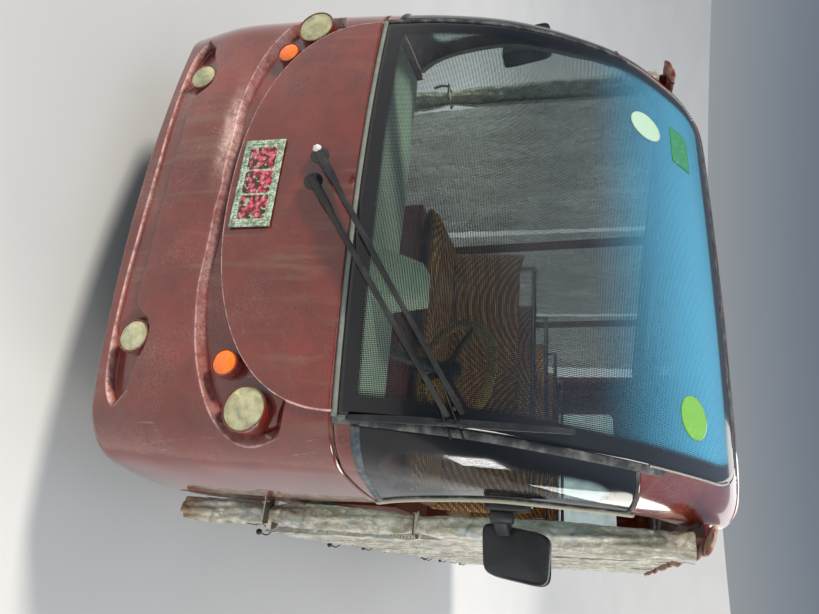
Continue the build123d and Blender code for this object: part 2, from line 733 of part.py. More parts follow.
CURTAIN_TOP = 1780.0
CURTAIN_HEM = 370.0
CURTAIN_T = 26.0
CURTAIN_FLARE = 45.0
CURTAIN_X = EAVE_CHANNEL[1] + FIT
CURTAINS = [(800, 1800), (1870, 3020), (3090, 4260)]
with BuildPart() as curtains:
    for sign in (1, -1):
        for start, end in CURTAINS:
            with BuildSketch(Plane.XZ.offset(-at(end))):
                with BuildLine():
                    Polyline((sign * CURTAIN_X, CURTAIN_TOP), (sign * (CURTAIN_X + CURTAIN_T), CURTAIN_TOP),
                             (sign * (CURTAIN_X + CURTAIN_T + CURTAIN_FLARE), CURTAIN_HEM),
                             (sign * (CURTAIN_X + CURTAIN_FLARE), CURTAIN_HEM), close=True)
                make_face()
            extrude(amount=end - start)
save(curtains.part, "curtains")

BUNDLE_X = 814.0
BUNDLE_R = (26.0, 48.0)
BUNDLE_LOW = 200.0
BUNDLE_TOP = EAVE_LIP_Z - FIT
BUNDLE_HANG = EAVE_START + BUNDLE_R[1]
BUNDLE_FOOT = BUNDLE_HANG - 98
with BuildPart() as curtain_bundles:
    for sign in (1, -1):
        for station, z in ((BUNDLE_FOOT, BUNDLE_LOW), (BUNDLE_HANG, BUNDLE_TOP)):
            with BuildSketch(Plane.XY.offset(z)):
                with Locations((sign * BUNDLE_X, at(station))):
                    Ellipse(*BUNDLE_R)
        loft()
save(curtain_bundles.part, "curtain_bundles")

# Dashboard with its gauge pod, behind the windscreen

lean_angle = radians(WHEEL_LEAN)
wheel_axis = Vector(0, cos(lean_angle), sin(lean_angle))
wheel_centre = Vector(WHEEL_X, at(WHEEL_STATION), WHEEL_Z)
COLUMN_R = 24.0
SPINDLE_R = 9.0
SPINDLE_END = 12.0
COLUMN_TOP = 60.0
COLUMN_LENGTH = 470.0
column_top = wheel_centre - wheel_axis * COLUMN_TOP
column_foot = wheel_centre - wheel_axis * COLUMN_LENGTH

DASH_T = 12.0
DASH_TOP = 905.0
DASH_REAR_Z = 922.0
DASH_REAR = 455.0
DASH_LIP = (500.0, 860.0)
DASH_FOOT = (462.0, 640.0)
DASH_GAP = 6.0
POD = dict(x=155, station=330, foot=(170, 130), top=(105, 90), z=1050)
dash_outer = [(-50, DASH_TOP), (150, DASH_TOP + 4), (DASH_REAR, DASH_REAR_Z), DASH_LIP, DASH_FOOT]
dash_inner = [(DASH_FOOT[0] - DASH_T, DASH_FOOT[1]), (DASH_LIP[0] - DASH_T, DASH_LIP[1] - 6),
              (DASH_REAR - 6, DASH_REAR_Z - DASH_T), (150, DASH_TOP - DASH_T), (-50, DASH_TOP - DASH_T)]
with BuildPart() as dashboard:
    with BuildSketch(Plane.YZ.offset(-700)):
        with BuildLine():
            Polyline(*[(at(station), z) for station, z in dash_outer + dash_inner], close=True)
        make_face()
    extrude(amount=1400)
    add(hull(LOWER_LEVELS, SKIN + DASH_GAP), mode=Mode.INTERSECT)
    rod(column_foot, column_top, COLUMN_R + DASH_GAP, mode=Mode.SUBTRACT)
    with BuildSketch(Plane.XY.offset(DASH_TOP - 2)):
        with Locations((POD["x"], at(POD["station"]))):
            Rectangle(*POD["foot"])
    with BuildSketch(Plane.XY.offset(POD["z"])):
        with Locations((POD["x"] + 20, at(POD["station"] + 15))):
            Rectangle(*POD["top"])
    loft()
save(dashboard.part, "dashboard")

# Steering column, its floor shaft and the pedals

FLOOR_TOP = FLOOR_Z + FLOOR
PEDALS = [(215, 90), (330, 60)]
PEDAL_STATION = 620.0
with BuildPart() as steering_column:
    rod(column_foot, column_top, COLUMN_R)
    rod(column_top, wheel_centre + wheel_axis * SPINDLE_END, SPINDLE_R)
    with Locations(column_foot):
        Sphere(COLUMN_R)
    rod((column_foot.X, column_foot.Y, FLOOR_TOP), column_foot, COLUMN_R - 6)
    rod((column_foot.X, column_foot.Y, FLOOR_TOP), (column_foot.X, column_foot.Y, FLOOR_TOP + 10), 2 * COLUMN_R)
save(steering_column.part, "steering_column")

with BuildPart() as pedals:
    for x, width in PEDALS:
        y = at(PEDAL_STATION)
        slab((x - width / 2, x + width / 2), (y - 30, y + 30), (FLOOR_TOP, FLOOR_TOP + 8))
        rod((x, y - 20, FLOOR_TOP + 6), (x, y + 20, FLOOR_TOP + 130), 7)
        with Locations(Plane(origin=(x, y + 22, FLOOR_TOP + 135), z_dir=(0, 0.8, 0.6))):
            Box(width, 70, 10)
save(pedals.part, "pedals")

HUB = (34.0, 30.0)
SPOKES = 3
wheel_plane = Plane(origin=wheel_centre, x_dir=(1, 0, 0), z_dir=wheel_axis)
with BuildPart() as steering_wheel:
    with Locations(wheel_plane):
        Torus(RIM_R, GRIP_R)
        Cylinder(HUB[0], HUB[1])
    for spoke in range(SPOKES):
        angle = radians(270 + spoke * 360 / SPOKES)
        across = wheel_plane.x_dir * cos(angle) + wheel_plane.y_dir * sin(angle)
        rod(wheel_centre, wheel_centre + across * RIM_R, 9)
    rod(wheel_centre - wheel_axis * 40, wheel_centre + wheel_axis * (SPINDLE_END + 1), SPINDLE_R + SHAFT_FIT,
        mode=Mode.SUBTRACT)
save(steering_wheel.part, "steering_wheel")

# Benches: box, cushion and back in each row

BACK_STATION = 25.0
BOX_SET_IN = 40.0
CUSHION_EDGE = 28.0
BENCH_BOX_HALF = 715.0
rows = [ROW_FIRST + ROW_PITCH * row for row in range(ROWS)]
box_top = CUSHION_Z - FIT
with BuildPart() as seat_boxes:
    for front in rows:
        y = (at(front + BOX_SET_IN), at(front + CUSHION_DEPTH + BACK_T))
        slab((-BENCH_BOX_HALF, BENCH_BOX_HALF), y, (FLOOR_TOP, box_top))
        slab((-BENCH_BOX_HALF + BOX_WALL, BENCH_BOX_HALF - BOX_WALL), (y[0] + BOX_WALL, y[1] - BOX_WALL),
             (FLOOR_TOP, box_top - BOX_WALL), mode=Mode.SUBTRACT)
    for sign in (1, -1):
        for station in POST_STATIONS:
            slab((sign * BENCH_HALF, sign * 800), (at(station - POST), at(station + POST)), (0, 1000),
                 mode=Mode.SUBTRACT)
        rod((sign * (HOUSE_IN - FIT), at(REAR_AXLE), WHEEL_R), (sign * 900, at(REAR_AXLE), WHEEL_R),
            ARCH_R + HOUSE_WALL + FIT, mode=Mode.SUBTRACT)
save(seat_boxes.part, "seat_boxes")

with BuildPart() as seat_cushions:
    for front in rows:
        slab((-BENCH_HALF, BENCH_HALF), (at(front), at(front + CUSHION_DEPTH)),
             (CUSHION_Z, CUSHION_Z + CUSHION_H))
    fillet(seat_cushions.faces().sort_by(Axis.Z)[-ROWS:].edges(), CUSHION_EDGE)
save(seat_cushions.part, "seat_cushions")

with BuildPart() as seat_backs:
    for front in rows:
        foot = Vector(0, at(front + CUSHION_DEPTH + FIT), CUSHION_Z + FIT + BACK_T * sin(radians(BACK_LEAN)))
        plane = Plane(origin=foot, x_dir=(1, 0, 0), z_dir=(0, sin(radians(BACK_LEAN)), cos(radians(BACK_LEAN))))
        with Locations(plane):
            Box(2 * BENCH_HALF, BACK_T, BACK_H, align=(Align.CENTER, Align.MIN, Align.MIN))
    tops = seat_backs.faces().sort_by(Axis.Z)[-ROWS:]
    fillet(tops.edges(), CUSHION_EDGE)
save(seat_backs.part, "seat_backs")

# Grab rails on the backs of the benches

GRAB_R = 12.5
GRAB_X = 620.0
GRAB_LIFT = 55.0
GRAB_DROP = 120.0
with BuildPart() as grab_rails:
    for front in rows[:-1]:
        back = front + CUSHION_DEPTH + FIT
        top_z = CUSHION_Z + FIT + BACK_H * cos(radians(BACK_LEAN))
        shift = BACK_H * sin(radians(BACK_LEAN)) + BACK_T + GRAB_R + 2
        y = at(back + shift + 12)
        foot_z = CUSHION_Z - GRAB_DROP
        bent_rod([(-GRAB_X, y, foot_z), (-GRAB_X, y, top_z + GRAB_LIFT), (GRAB_X, y, top_z + GRAB_LIFT),
                  (GRAB_X, y, foot_z)], GRAB_R)
        for x in (-GRAB_X, GRAB_X):
            slab((x - 20, x + 20), (at(front + CUSHION_DEPTH + BACK_T), y), (foot_z - 10, foot_z + 30))
save(grab_rails.part, "grab_rails")

# Heavy blocks: battery packs under the second and third benches, motor at the rear axle

BATTERY = (620, 320, 230)
with BuildPart() as battery_packs:
    for front in rows[1:3]:
        middle = front + BOX_SET_IN + (CUSHION_DEPTH + BACK_T - BOX_SET_IN) / 2
        for sign in (1, -1):
            slab((sign * 10, sign * BATTERY[0]), (at(middle - BATTERY[1] / 2), at(middle + BATTERY[1] / 2)),
                 (FLOOR_TOP, FLOOR_TOP + BATTERY[2]))
save(battery_packs.part, "battery_packs")

# Leaf springs: three leaves each, on hangers under the rails

LEAF_T = 8.0
LEAF_W = 50.0
SPRING_HALF = 320.0
EYE_R = 14.0
EYE_Z = 288.0
AXLE_R = 22.0
FRONT_AXLE_Z = 220.0
REAR_TUBE_R = 30.0
LEAVES = [(1.0, 0), (0.7, 1), (0.42, 2)]
SPRING_SEATS = [(FRONT_AXLE, FRONT_AXLE_Z + AXLE_R + 2), (REAR_AXLE, WHEEL_R - REAR_TUBE_R - 3 * LEAF_T - 2)]
with BuildPart() as leaf_springs:
    for station, seat in SPRING_SEATS:
        centre = at(station)
        middle = seat + 3 * LEAF_T
        rise = EYE_Z - middle
        for x in (-RAIL_X, RAIL_X):
            for share, drop in LEAVES:
                half = SPRING_HALF * share
                end_z = middle + rise * share ** 2 - drop * LEAF_T
                mid_z = middle - drop * LEAF_T
                with BuildSketch(Plane.YZ.offset(x - LEAF_W / 2)):
                    with BuildLine():
                        ThreePointArc((centre - half, end_z), (centre, mid_z), (centre + half, end_z))
                        Line((centre + half, end_z), (centre + half, end_z - LEAF_T))
                        ThreePointArc((centre + half, end_z - LEAF_T), (centre, mid_z - LEAF_T),
                                      (centre - half, end_z - LEAF_T))
                        Line((centre - half, end_z - LEAF_T), (centre - half, end_z))
                    make_face()
                extrude(amount=LEAF_W)
            for way in (-1, 1):
                y = centre + way * SPRING_HALF
                rod((x - LEAF_W / 2, y, EYE_Z - LEAF_T / 2), (x + LEAF_W / 2, y, EYE_Z - LEAF_T / 2), EYE_R)
                slab((x - LEAF_W / 2, x + LEAF_W / 2), (y - 8, y + 8), (EYE_Z, RAIL_LOW))
save(leaf_springs.part, "leaf_springs")

# Front axle: beam, yokes and kingpins

YOKE_R = BOSS_R
yoke_low = BOSS_LOW - YOKE_GAP - YOKE
yoke_high = BOSS_HIGH + YOKE_GAP + YOKE
web = (KINGPIN_X - BOSS_R - 26, KINGPIN_X - BOSS_R - 12)
SPRING_PAD = (64, 60)
SPRING_CLEAR = 0.8
with BuildPart() as front_axle:
    y = at(FRONT_AXLE)
    rod((-web[0] - 4, y, FRONT_AXLE_Z), (web[0] + 4, y, FRONT_AXLE_Z), AXLE_R)
    for sign in (1, -1):
        slab((sign * web[0], sign * web[1]), (y - YOKE_R, y + YOKE_R), (yoke_low, yoke_high))
        for low in (yoke_low, yoke_high - YOKE):
            slab((sign * web[0], sign * KINGPIN_X), (y - YOKE_R, y + YOKE_R), (low, low + YOKE))
            rod((sign * KINGPIN_X, y, low), (sign * KINGPIN_X, y, low + YOKE), YOKE_R)
        rod((sign * KINGPIN_X, y, yoke_low), (sign * KINGPIN_X, y, yoke_high), KINGPIN_R)
        slab((sign * RAIL_X - SPRING_PAD[0] / 2, sign * RAIL_X + SPRING_PAD[0] / 2),
             (y - SPRING_PAD[1] / 2, y + SPRING_PAD[1] / 2), (FRONT_AXLE_Z, SPRING_SEATS[0][1] - FIT))
save(front_axle.part, "front_axle")

# Knuckles: boss on the kingpin, stub axle, backing plate and steering arm

PLATE = (95.0, 6.0)
PLATE_X = KINGPIN_X + BOSS_R + 8
ARM = (20.0, 14.0)
BALL_R = 8.0
STUD_END = 4.0
EYE = (16.0, 16.0)
for sign, name in ((1, "knuckle_left"), (-1, "knuckle_right")):
    y = at(FRONT_AXLE)
    with BuildPart() as knuckle:
        rod((sign * KINGPIN_X, y, BOSS_LOW), (sign * KINGPIN_X, y, BOSS_HIGH), BOSS_R)
        rod((sign * KINGPIN_X, y, WHEEL_R), (sign * HUB_OUT, y, WHEEL_R), STUB_R)
        rod((sign * PLATE_X, y, WHEEL_R), (sign * (PLATE_X + PLATE[1]), y, WHEEL_R), PLATE[0])
        slab((sign * (KINGPIN_X - ARM[0] / 2), sign * (KINGPIN_X + ARM[0] / 2)), (y, y + ARM_LENGTH),
             (BOSS_LOW, BOSS_LOW + ARM[1]))
        tip = (sign * KINGPIN_X, y + ARM_LENGTH, BOSS_LOW)
        rod(tip, (tip[0], tip[1], BOSS_LOW + ARM[1]), ARM[0] / 2)
        rod((tip[0], tip[1], TIE_ROD_Z - EYE[1] / 2 - STUD_END), tip, BALL_R)
        rod((sign * KINGPIN_X, y, 0), (sign * KINGPIN_X, y, 500), KINGPIN_R + SHAFT_FIT, mode=Mode.SUBTRACT)
    save(knuckle.part, name)

OPEN_EYE = 4.0
with BuildPart() as tie_rod:
    x = KINGPIN_X
    y = at(FRONT_AXLE) + ARM_LENGTH
    low, high = TIE_ROD_Z - EYE[1] / 2, TIE_ROD_Z + EYE[1] / 2
    rod((-x, y, TIE_ROD_Z), (x, y, TIE_ROD_Z), TIE_ROD_R)
    for sign, clearance in ((1, SHAFT_FIT), (-1, OPEN_EYE)):
        rod((sign * x, y, low), (sign * x, y, high), EYE[0] + clearance)
        rod((sign * x, y, low - 1), (sign * x, y, high + 1), BALL_R + clearance, mode=Mode.SUBTRACT)
save(tie_rod.part, "tie_rod")

# Rear axle with its differential case, and the motor on it

DIFF = (95.0, 120.0)
MOTOR = (100.0, 280.0)
with BuildPart() as rear_axle:
    y = at(REAR_AXLE)
    flange = HUB_IN - 14
    rod((-flange, y, WHEEL_R), (flange, y, WHEEL_R), REAR_TUBE_R)
    rod((-HUB_OUT, y, WHEEL_R), (HUB_OUT, y, WHEEL_R), STUB_R)
    rod((-DIFF[1] / 2, y, WHEEL_R), (DIFF[1] / 2, y, WHEEL_R), DIFF[0])
    for sign in (1, -1):
        rod((sign * (flange - PLATE[1]), y, WHEEL_R), (sign * flange, y, WHEEL_R), PLATE[0])
        slab((sign * RAIL_X - SPRING_PAD[0] / 2, sign * RAIL_X + SPRING_PAD[0] / 2),
             (y - SPRING_PAD[1] / 2, y + SPRING_PAD[1] / 2),
             (SPRING_SEATS[1][1] + len(LEAVES) * LEAF_T + SPRING_CLEAR, WHEEL_R))
save(rear_axle.part, "rear_axle")

with BuildPart() as drive_motor:
    y = at(REAR_AXLE)
    start = y + DIFF[0] + FIT
    rod((0, start, WHEEL_R - 5), (0, start + MOTOR[1], WHEEL_R - 5), MOTOR[0] - 12)
save(drive_motor.part, "drive_motor")

# Wheels: tyre on a pressed steel rim with its hub

TYRE = [(51, 154), (51, 166), (66, 182), (75, 216), (71, 248), (60, 264), (40, 270)]
FLANGE_R = 165.0
DISC_X = 668.0
DISC_T = 8.0
VENT = (90.0, 15.0, 8)
for axle, place in ((FRONT_AXLE, "front"), (REAR_AXLE, "rear")):
    for sign, side in ((1, "left"), (-1, "right")):
        y = at(axle)
        centre = sign * TYRE_X
        turning = Axis((0, y, WHEEL_R), (1, 0, 0))
        with BuildPart() as tyre:
            with BuildSketch(Plane.XZ.offset(-y)):
                with BuildLine():
                    Polyline(*[(centre - half, WHEEL_R + r) for half, r in TYRE],
                             *[(centre + half, WHEEL_R + r) for half, r in reversed(TYRE)], close=True)
                make_face()
            revolve(axis=turning)
        save(tyre.part, f"tyre_{place}_{side}")
        with BuildPart() as rim:
            ends = (centre - RIM_W / 2, centre + RIM_W / 2)
            rod((ends[0], y, WHEEL_R), (ends[1], y, WHEEL_R), BEAD_R - FIT)
            for end, inner in ((ends[0], ends[0] + 7), (ends[1], ends[1] - 7)):
                rod((end, y, WHEEL_R), (inner, y, WHEEL_R), FLANGE_R)
            rod((ends[0] - 1, y, WHEEL_R), (ends[1] + 1, y, WHEEL_R), RIM_INNER_R, mode=Mode.SUBTRACT)
            rod((sign * DISC_X, y, WHEEL_R), (sign * (DISC_X + DISC_T), y, WHEEL_R), RIM_INNER_R + 2)
            rod((sign * HUB_IN, y, WHEEL_R), (sign * HUB_OUT, y, WHEEL_R), HUB_R)
            for vent in range(VENT[2]):
                angle = 2 * pi * vent / VENT[2]
                vent_y = y + VENT[0] * cos(angle)
                vent_z = WHEEL_R + VENT[0] * sin(angle)
                rod((sign * (DISC_X - 9), vent_y, vent_z), (sign * (DISC_X + 9 + DISC_T), vent_y, vent_z),
                    VENT[1], mode=Mode.SUBTRACT)
            rod((sign * (HUB_IN - 1), y, WHEEL_R), (sign * (HUB_OUT + 1), y, WHEEL_R), STUB_R + SHAFT_FIT,
                mode=Mode.SUBTRACT)
        save(rim.part, f"rim_{place}_{side}")

# Door mirrors on arms at the front corners, with their glass

MIRROR = dict(x=(802, 957), station=(490, 560), z=(1218, 1392))
MIRROR_CORNER = 26.0
MIRROR_GLASS_T = 4.0
ARM_Z = 1290.0
BRACKET = dict(x=(756, 782), station=(430, 500), z=(1235, 1345))
with BuildPart() as mirrors:
    slab(MIRROR["x"], [at(s) for s in MIRROR["station"]], MIRROR["z"])
    fillet(mirrors.edges().filter_by(Axis.Y), MIRROR_CORNER)
    fillet(mirrors.faces().sort_by(Axis.Y)[0].edges(), MIRROR_CORNER - 4)
    inset = 8
    slab((MIRROR["x"][0] + inset, MIRROR["x"][1] - inset),
         (at(MIRROR["station"][1] - MIRROR_GLASS_T - FIT), at(MIRROR["station"][1] + 5)),
         (MIRROR["z"][0] + inset, MIRROR["z"][1] - inset), mode=Mode.SUBTRACT)
    rod((BRACKET["x"][0] + 10, at(475), ARM_Z - 15), (MIRROR["x"][0] + 10, at(520), ARM_Z - 15), 15)
    slab(BRACKET["x"], [at(s) for s in BRACKET["station"]], BRACKET["z"])
    mirror(about=Plane.YZ)
with BuildPart() as mirror_glass:
    slab((MIRROR["x"][0] + inset + FIT, MIRROR["x"][1] - inset - FIT),
         (at(MIRROR["station"][1] - MIRROR_GLASS_T), at(MIRROR["station"][1])),
         (MIRROR["z"][0] + inset + FIT, MIRROR["z"][1] - inset - FIT))
    mirror(about=Plane.YZ)
front_opening_hull = hull(UPPER_LEVELS, 0)
with BuildPart() as door_mirrors:
    add(mirrors.part)
    add(front_opening_hull, mode=Mode.SUBTRACT)
save(door_mirrors.part, "door_mirrors")
save(mirror_glass.part, "mirror_glass")

# Wiper: two parallel arms from the nose to a blade that lies beside the windscreen's edge

WIPER_PIVOTS = [(-85, 812), (0, 806)]
WIPER_LIFT = 24.0
WIPER_MIDDLE = (270, 1012)
WIPER_END = (612, 1196)
WIPER_ARM_R = 6.0
WIPER_BLADE = [(612, 950), (611, 1040), (610, 1130), (605, 1215), (600, 1300), (595, 1380), (590, 1460)]
BLADE_R = 7.0
BLADE_LIFT = 17.0
BRACKET_R = 14.0


def off_nose(x, z, lift):
    """Point in front of the nose's outer face."""
    return x, at(front_station(x, z) - lift), z


with BuildPart() as wiper:
    for index, (x, z) in enumerate(WIPER_PIVOTS):
        shift = 14 * index
        rod(off_nose(x, z, PANEL_RISE + 4), off_nose(x, z, WIPER_LIFT + 6), 16)
        middle = (WIPER_MIDDLE[0], WIPER_MIDDLE[1] - 2 * shift)
        end = (WIPER_END[0] - 4, WIPER_END[1] - shift)
        bent_rod([off_nose(x, z, WIPER_LIFT), off_nose(*middle, WIPER_LIFT + 4), off_nose(*end, WIPER_LIFT)],
                 WIPER_ARM_R)
    rod(off_nose(*WIPER_END, WIPER_LIFT + 10), off_nose(*WIPER_END, BLADE_LIFT - 2), BRACKET_R)
    bent_rod([off_nose(x, z, BLADE_LIFT) for x, z in WIPER_BLADE], BLADE_R)
save(wiper.part, "wiper")

# Blank plate on the nose

NOSE_PLATE = (280, 120, 648)
PLATE_T = 5.0
PLATE_CLEAR = 0.6
with BuildPart() as plates:
    width, height, z = NOSE_PLATE
    low = Vector(0, at(front_station(0, z - height / 2) - PANEL_RISE), z - height / 2)
    high = Vector(0, at(front_station(0, z + height / 2) - PANEL_RISE), z + height / 2)
    up = (high - low).normalized()
    outward = Vector(1, 0, 0).cross(up)
    with Locations(Plane(origin=(low + high) * 0.5 + outward * PLATE_CLEAR, x_dir=(1, 0, 0), z_dir=outward)):
        Box(width, height, PLATE_T, align=(Align.CENTER, Align.CENTER, Align.MIN))
save(plates.part, "nose_plate")
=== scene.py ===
"""Looks of an open-sided electric sightseeing bus: gloss nose, bent glass, clear curtains and matted benches.

Metres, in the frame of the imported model: the front faces -Y, the bus's left side is +X, the floor is z = 0.
A station is the distance behind the nose tip.
"""
import math

import bpy
import numpy as np
from mathutils import Matrix, Vector


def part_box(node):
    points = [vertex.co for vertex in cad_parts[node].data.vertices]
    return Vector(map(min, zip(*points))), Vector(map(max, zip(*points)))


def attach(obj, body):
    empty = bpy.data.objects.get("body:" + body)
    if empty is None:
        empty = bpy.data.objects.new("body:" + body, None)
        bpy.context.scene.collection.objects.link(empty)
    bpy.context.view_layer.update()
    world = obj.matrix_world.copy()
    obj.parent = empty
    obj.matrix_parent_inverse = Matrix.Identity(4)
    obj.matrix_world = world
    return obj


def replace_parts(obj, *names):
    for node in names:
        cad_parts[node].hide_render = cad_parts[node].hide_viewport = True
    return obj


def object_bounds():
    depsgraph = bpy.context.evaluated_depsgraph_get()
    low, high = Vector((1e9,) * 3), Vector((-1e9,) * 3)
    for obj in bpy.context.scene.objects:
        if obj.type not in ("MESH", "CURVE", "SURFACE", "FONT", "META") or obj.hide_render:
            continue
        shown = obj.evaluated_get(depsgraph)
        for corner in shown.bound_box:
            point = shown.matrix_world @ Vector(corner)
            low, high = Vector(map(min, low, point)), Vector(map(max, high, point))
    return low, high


bl_info = {
    "name": "Sightseeing Bus Finish",
    "version": (1, 0, 0),
    "blender": (4, 5, 0),
    "location": "View3D > Sidebar > Bus",
    "description": "Builds the skins, glass, curtains, seats and finishes of a sightseeing bus on its frame",
    "category": "Object",
}

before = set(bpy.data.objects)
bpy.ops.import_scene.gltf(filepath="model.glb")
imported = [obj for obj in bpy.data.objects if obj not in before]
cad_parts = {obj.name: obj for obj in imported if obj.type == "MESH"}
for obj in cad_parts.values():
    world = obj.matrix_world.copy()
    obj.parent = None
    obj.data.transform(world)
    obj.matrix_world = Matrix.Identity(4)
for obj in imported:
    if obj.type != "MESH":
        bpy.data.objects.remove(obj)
cad_low, cad_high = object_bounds()
NOSE_Y = cad_low.y
# Sign of x and name of each side
SIDES = ((1, "left"), (-1, "right"))

# Plan sections of the body, from the sill to the crown: columns z, setback, half width, side turn, tail
LOWER_LEVELS = np.array([
    (.252, .017, .775, 12, .016), (.420, .001, .780, 12, .0), (.600, .017, .780, 12, .003),
    (.750, .029, .779, 12, .010), (.920, .052, .775, 12, .022),
])
UPPER_LEVELS = np.array([
    (.920, .052, .775, 12, .022), (1.100, .090, .773, 11, .045), (1.300, .159, .767, 8.5, .080),
    (1.500, .276, .762, 5.5, .125), (1.650, .398, .760, 3.5, .170), (1.780, .560, .757, 3.1, .225),
    (1.860, .693, .755, 3, .290), (1.920, .853, .753, 3, .370), (1.960, 1.053, .752, 3, .480),
])
WAIST = .920
SILL = .252
SIDE_RADIUS = 1.6
CORNER_RADIUS = .170
CORNER_START = math.radians(8)
MASK_END = .500
FRAME_END = .860
EAVE = 1.785
DOME_TOP, HEADER_TOP = 1.912, 1.9185
TURN = 2 * math.pi
# Radius that closes a turned profile on its axis
TIP = 1e-5


def y_of(station):
    """Y of a station."""
    return NOSE_Y + station


# Curves and surfaces

def through(xs, ys, x):
    """Cubic curve through a table: each span is a Hermite cubic whose end slopes are those of the line
    that joins the neighbours on both sides."""
    xs, ys, x = (np.asarray(v, float) for v in (xs, ys, x))
    before = np.r_[0, np.arange(len(xs) - 1)]
    after = np.r_[np.arange(1, len(xs)), len(xs) - 1]
    slopes = (ys[after] - ys[before]) / (xs[after] - xs[before])
    i = np.clip(np.searchsorted(xs, x, side="right") - 1, 0, len(xs) - 2)
    step = xs[i + 1] - xs[i]
    t = np.clip((x - xs[i]) / step, 0, 1)
    return (ys[i] * (1 + 2 * t) * (1 - t) ** 2 + slopes[i] * step * t * (1 - t) ** 2
            + ys[i + 1] * t ** 2 * (3 - 2 * t) + slopes[i + 1] * step * t ** 2 * (t - 1))


def ramp(x, start, end):
    """Smooth step: 0 before start, 1 after end, 3t2 - 2t3 between."""
    t = np.clip((x - start) / (end - start), 0, 1)
    return t * t * (3 - 2 * t)


def bell(x, width):
    """Bell curve: 1 at x = 0, falling to 1 / e at the width."""
    return np.exp(-(x / width) ** 2)


def shares(count, low=0.0):
    """Even steps from low to 1."""
    return np.linspace(low, 1, count)


def round_angles(count):
    """Even angles over a full turn, without its end."""
    return np.linspace(0, TURN, count, endpoint=False)


def grid_of(first, second):
    """Two parameters on a grid: the first changes from row to row, the second from column to column."""
    return np.meshgrid(first, second, indexing="ij")


def plan(z):
    """Arcs of the plan section at height z: a wide arc over the nose, a corner arc and a side arc that
    meet tangentially, and a straight side. Returns their radii, centres and lengths."""
    z = np.asarray(z, float)
    low = [through(LOWER_LEVELS[:, 0], LOWER_LEVELS[:, c], z) for c in range(1, 5)]
    high = [through(UPPER_LEVELS[:, 0], UPPER_LEVELS[:, c], z) for c in range(1, 5)]
    setback, half, turn, tail = [np.where(z < WAIST, a, b) for a, b in zip(low, high)]
    turn = np.radians(turn)
    spread = SIDE_RADIUS - CORNER_RADIUS
    corner_x = half - SIDE_RADIUS + spread * np.cos(turn)
    nose_r = CORNER_RADIUS + corner_x / math.sin(CORNER_START)
    corner_s = setback + nose_r - (nose_r - CORNER_RADIUS) * math.cos(CORNER_START)
    return dict(
        setback=setback, half=half, turn=turn, tail=tail, nose_r=nose_r, corner_x=corner_x, corner_s=corner_s,
        side_x=half - SIDE_RADIUS, side_s=corner_s + spread * np.sin(turn), nose=nose_r * CORNER_START,
        corner=CORNER_RADIUS * (math.pi / 2 - turn - CORNER_START), side=SIDE_RADIUS * turn,
    )


def hull(a, z):
    """Point of the body's skin: a is the length along the plan section at height z from the middle of the
    nose, over its arcs and then straight back along the side."""
    sign, a = np.sign(a), np.abs(a)
    p = plan(z)
    past_nose = a - p["nose"]
    past_corner = past_nose - p["corner"]
    past_side = past_corner - p["side"]
    nose = a / p["nose_r"]
    corner = CORNER_START + past_nose / CORNER_RADIUS
    side = math.pi / 2 - p["turn"] + past_corner / SIDE_RADIUS
    where = [past_nose < 0, past_corner < 0, past_side < 0]
    x = np.select(where, [p["nose_r"] * np.sin(nose), p["corner_x"] + CORNER_RADIUS * np.sin(corner),
                          p["side_x"] + SIDE_RADIUS * np.sin(side)], p["half"])
    s = np.select(where, [p["setback"] + p["nose_r"] * (1 - np.cos(nose)),
                          p["corner_s"] - CORNER_RADIUS * np.cos(corner),
                          p["side_s"] - SIDE_RADIUS * np.cos(side)], p["side_s"] + past_side)
    return np.stack([sign * x, y_of(s), np.broadcast_to(z, x.shape)], -1)


def across(x, z):
    """Length along the plan section at height z to a place x seen from the front."""
    p = plan(z)
    x = np.broadcast_to(np.asarray(x, float), p["half"].shape)
    nose = p["nose_r"] * np.arcsin(np.clip(x / p["nose_r"], -1, 1))
    turn = np.arcsin(np.clip((x - p["corner_x"]) / CORNER_RADIUS, -1, 1))
    corner = p["nose"] + CORNER_RADIUS * (turn - CORNER_START)
    return np.where(nose < p["nose"], nose, corner)


def along(s, z):
    """Length along the plan section at height z to a station on the side."""
    p = plan(z)
    s = np.broadcast_to(np.asarray(s, float), p["half"].shape)
    corner = np.arccos(np.clip((p["corner_s"] - s) / CORNER_RADIUS, -1, 1))
    side = np.arccos(np.clip((p["side_s"] - s) / SIDE_RADIUS, 0, 1))
    on_corner = p["nose"] + CORNER_RADIUS * (corner - CORNER_START)
    on_side = p["nose"] + p["corner"] + SIDE_RADIUS * (side - math.pi / 2 + p["turn"])
    straight = p["nose"] + p["corner"] + p["side"] + s - p["side_s"]
    return np.where(corner < math.pi / 2 - p["turn"], on_corner, np.where(s < p["side_s"], on_side, straight))


def normals(grid):
    """Unit normals of a grid of points: the cross product of its two directions."""
    n = np.cross(np.gradient(grid, axis=0), np.gradient(grid, axis=1))
    return n / np.maximum(np.linalg.norm(n, axis=-1, keepdims=True), 1e-12)


def pushed(grid, depth, flip=False):
    """Grid moved along its normals by depth."""
    n = normals(grid)
    return grid + (-n if flip else n) * np.asarray(depth)[..., None]


def mesh_piece(name, vertices, faces, material, body="coach", slot=None):
    """Mesh object at the origin with its place in its vertices, riding on a body."""
    mesh = bpy.data.meshes.new(name)
    mesh.from_pydata(np.asarray(vertices, float).reshape(-1, 3).tolist(), [], faces)
    mesh.validate()
    mesh.shade_smooth()
    piece = bpy.data.objects.new(name, mesh)
    bpy.context.scene.collection.objects.link(piece)
    mesh.materials.append(material)
    if body:
        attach(piece, body)
    return piece


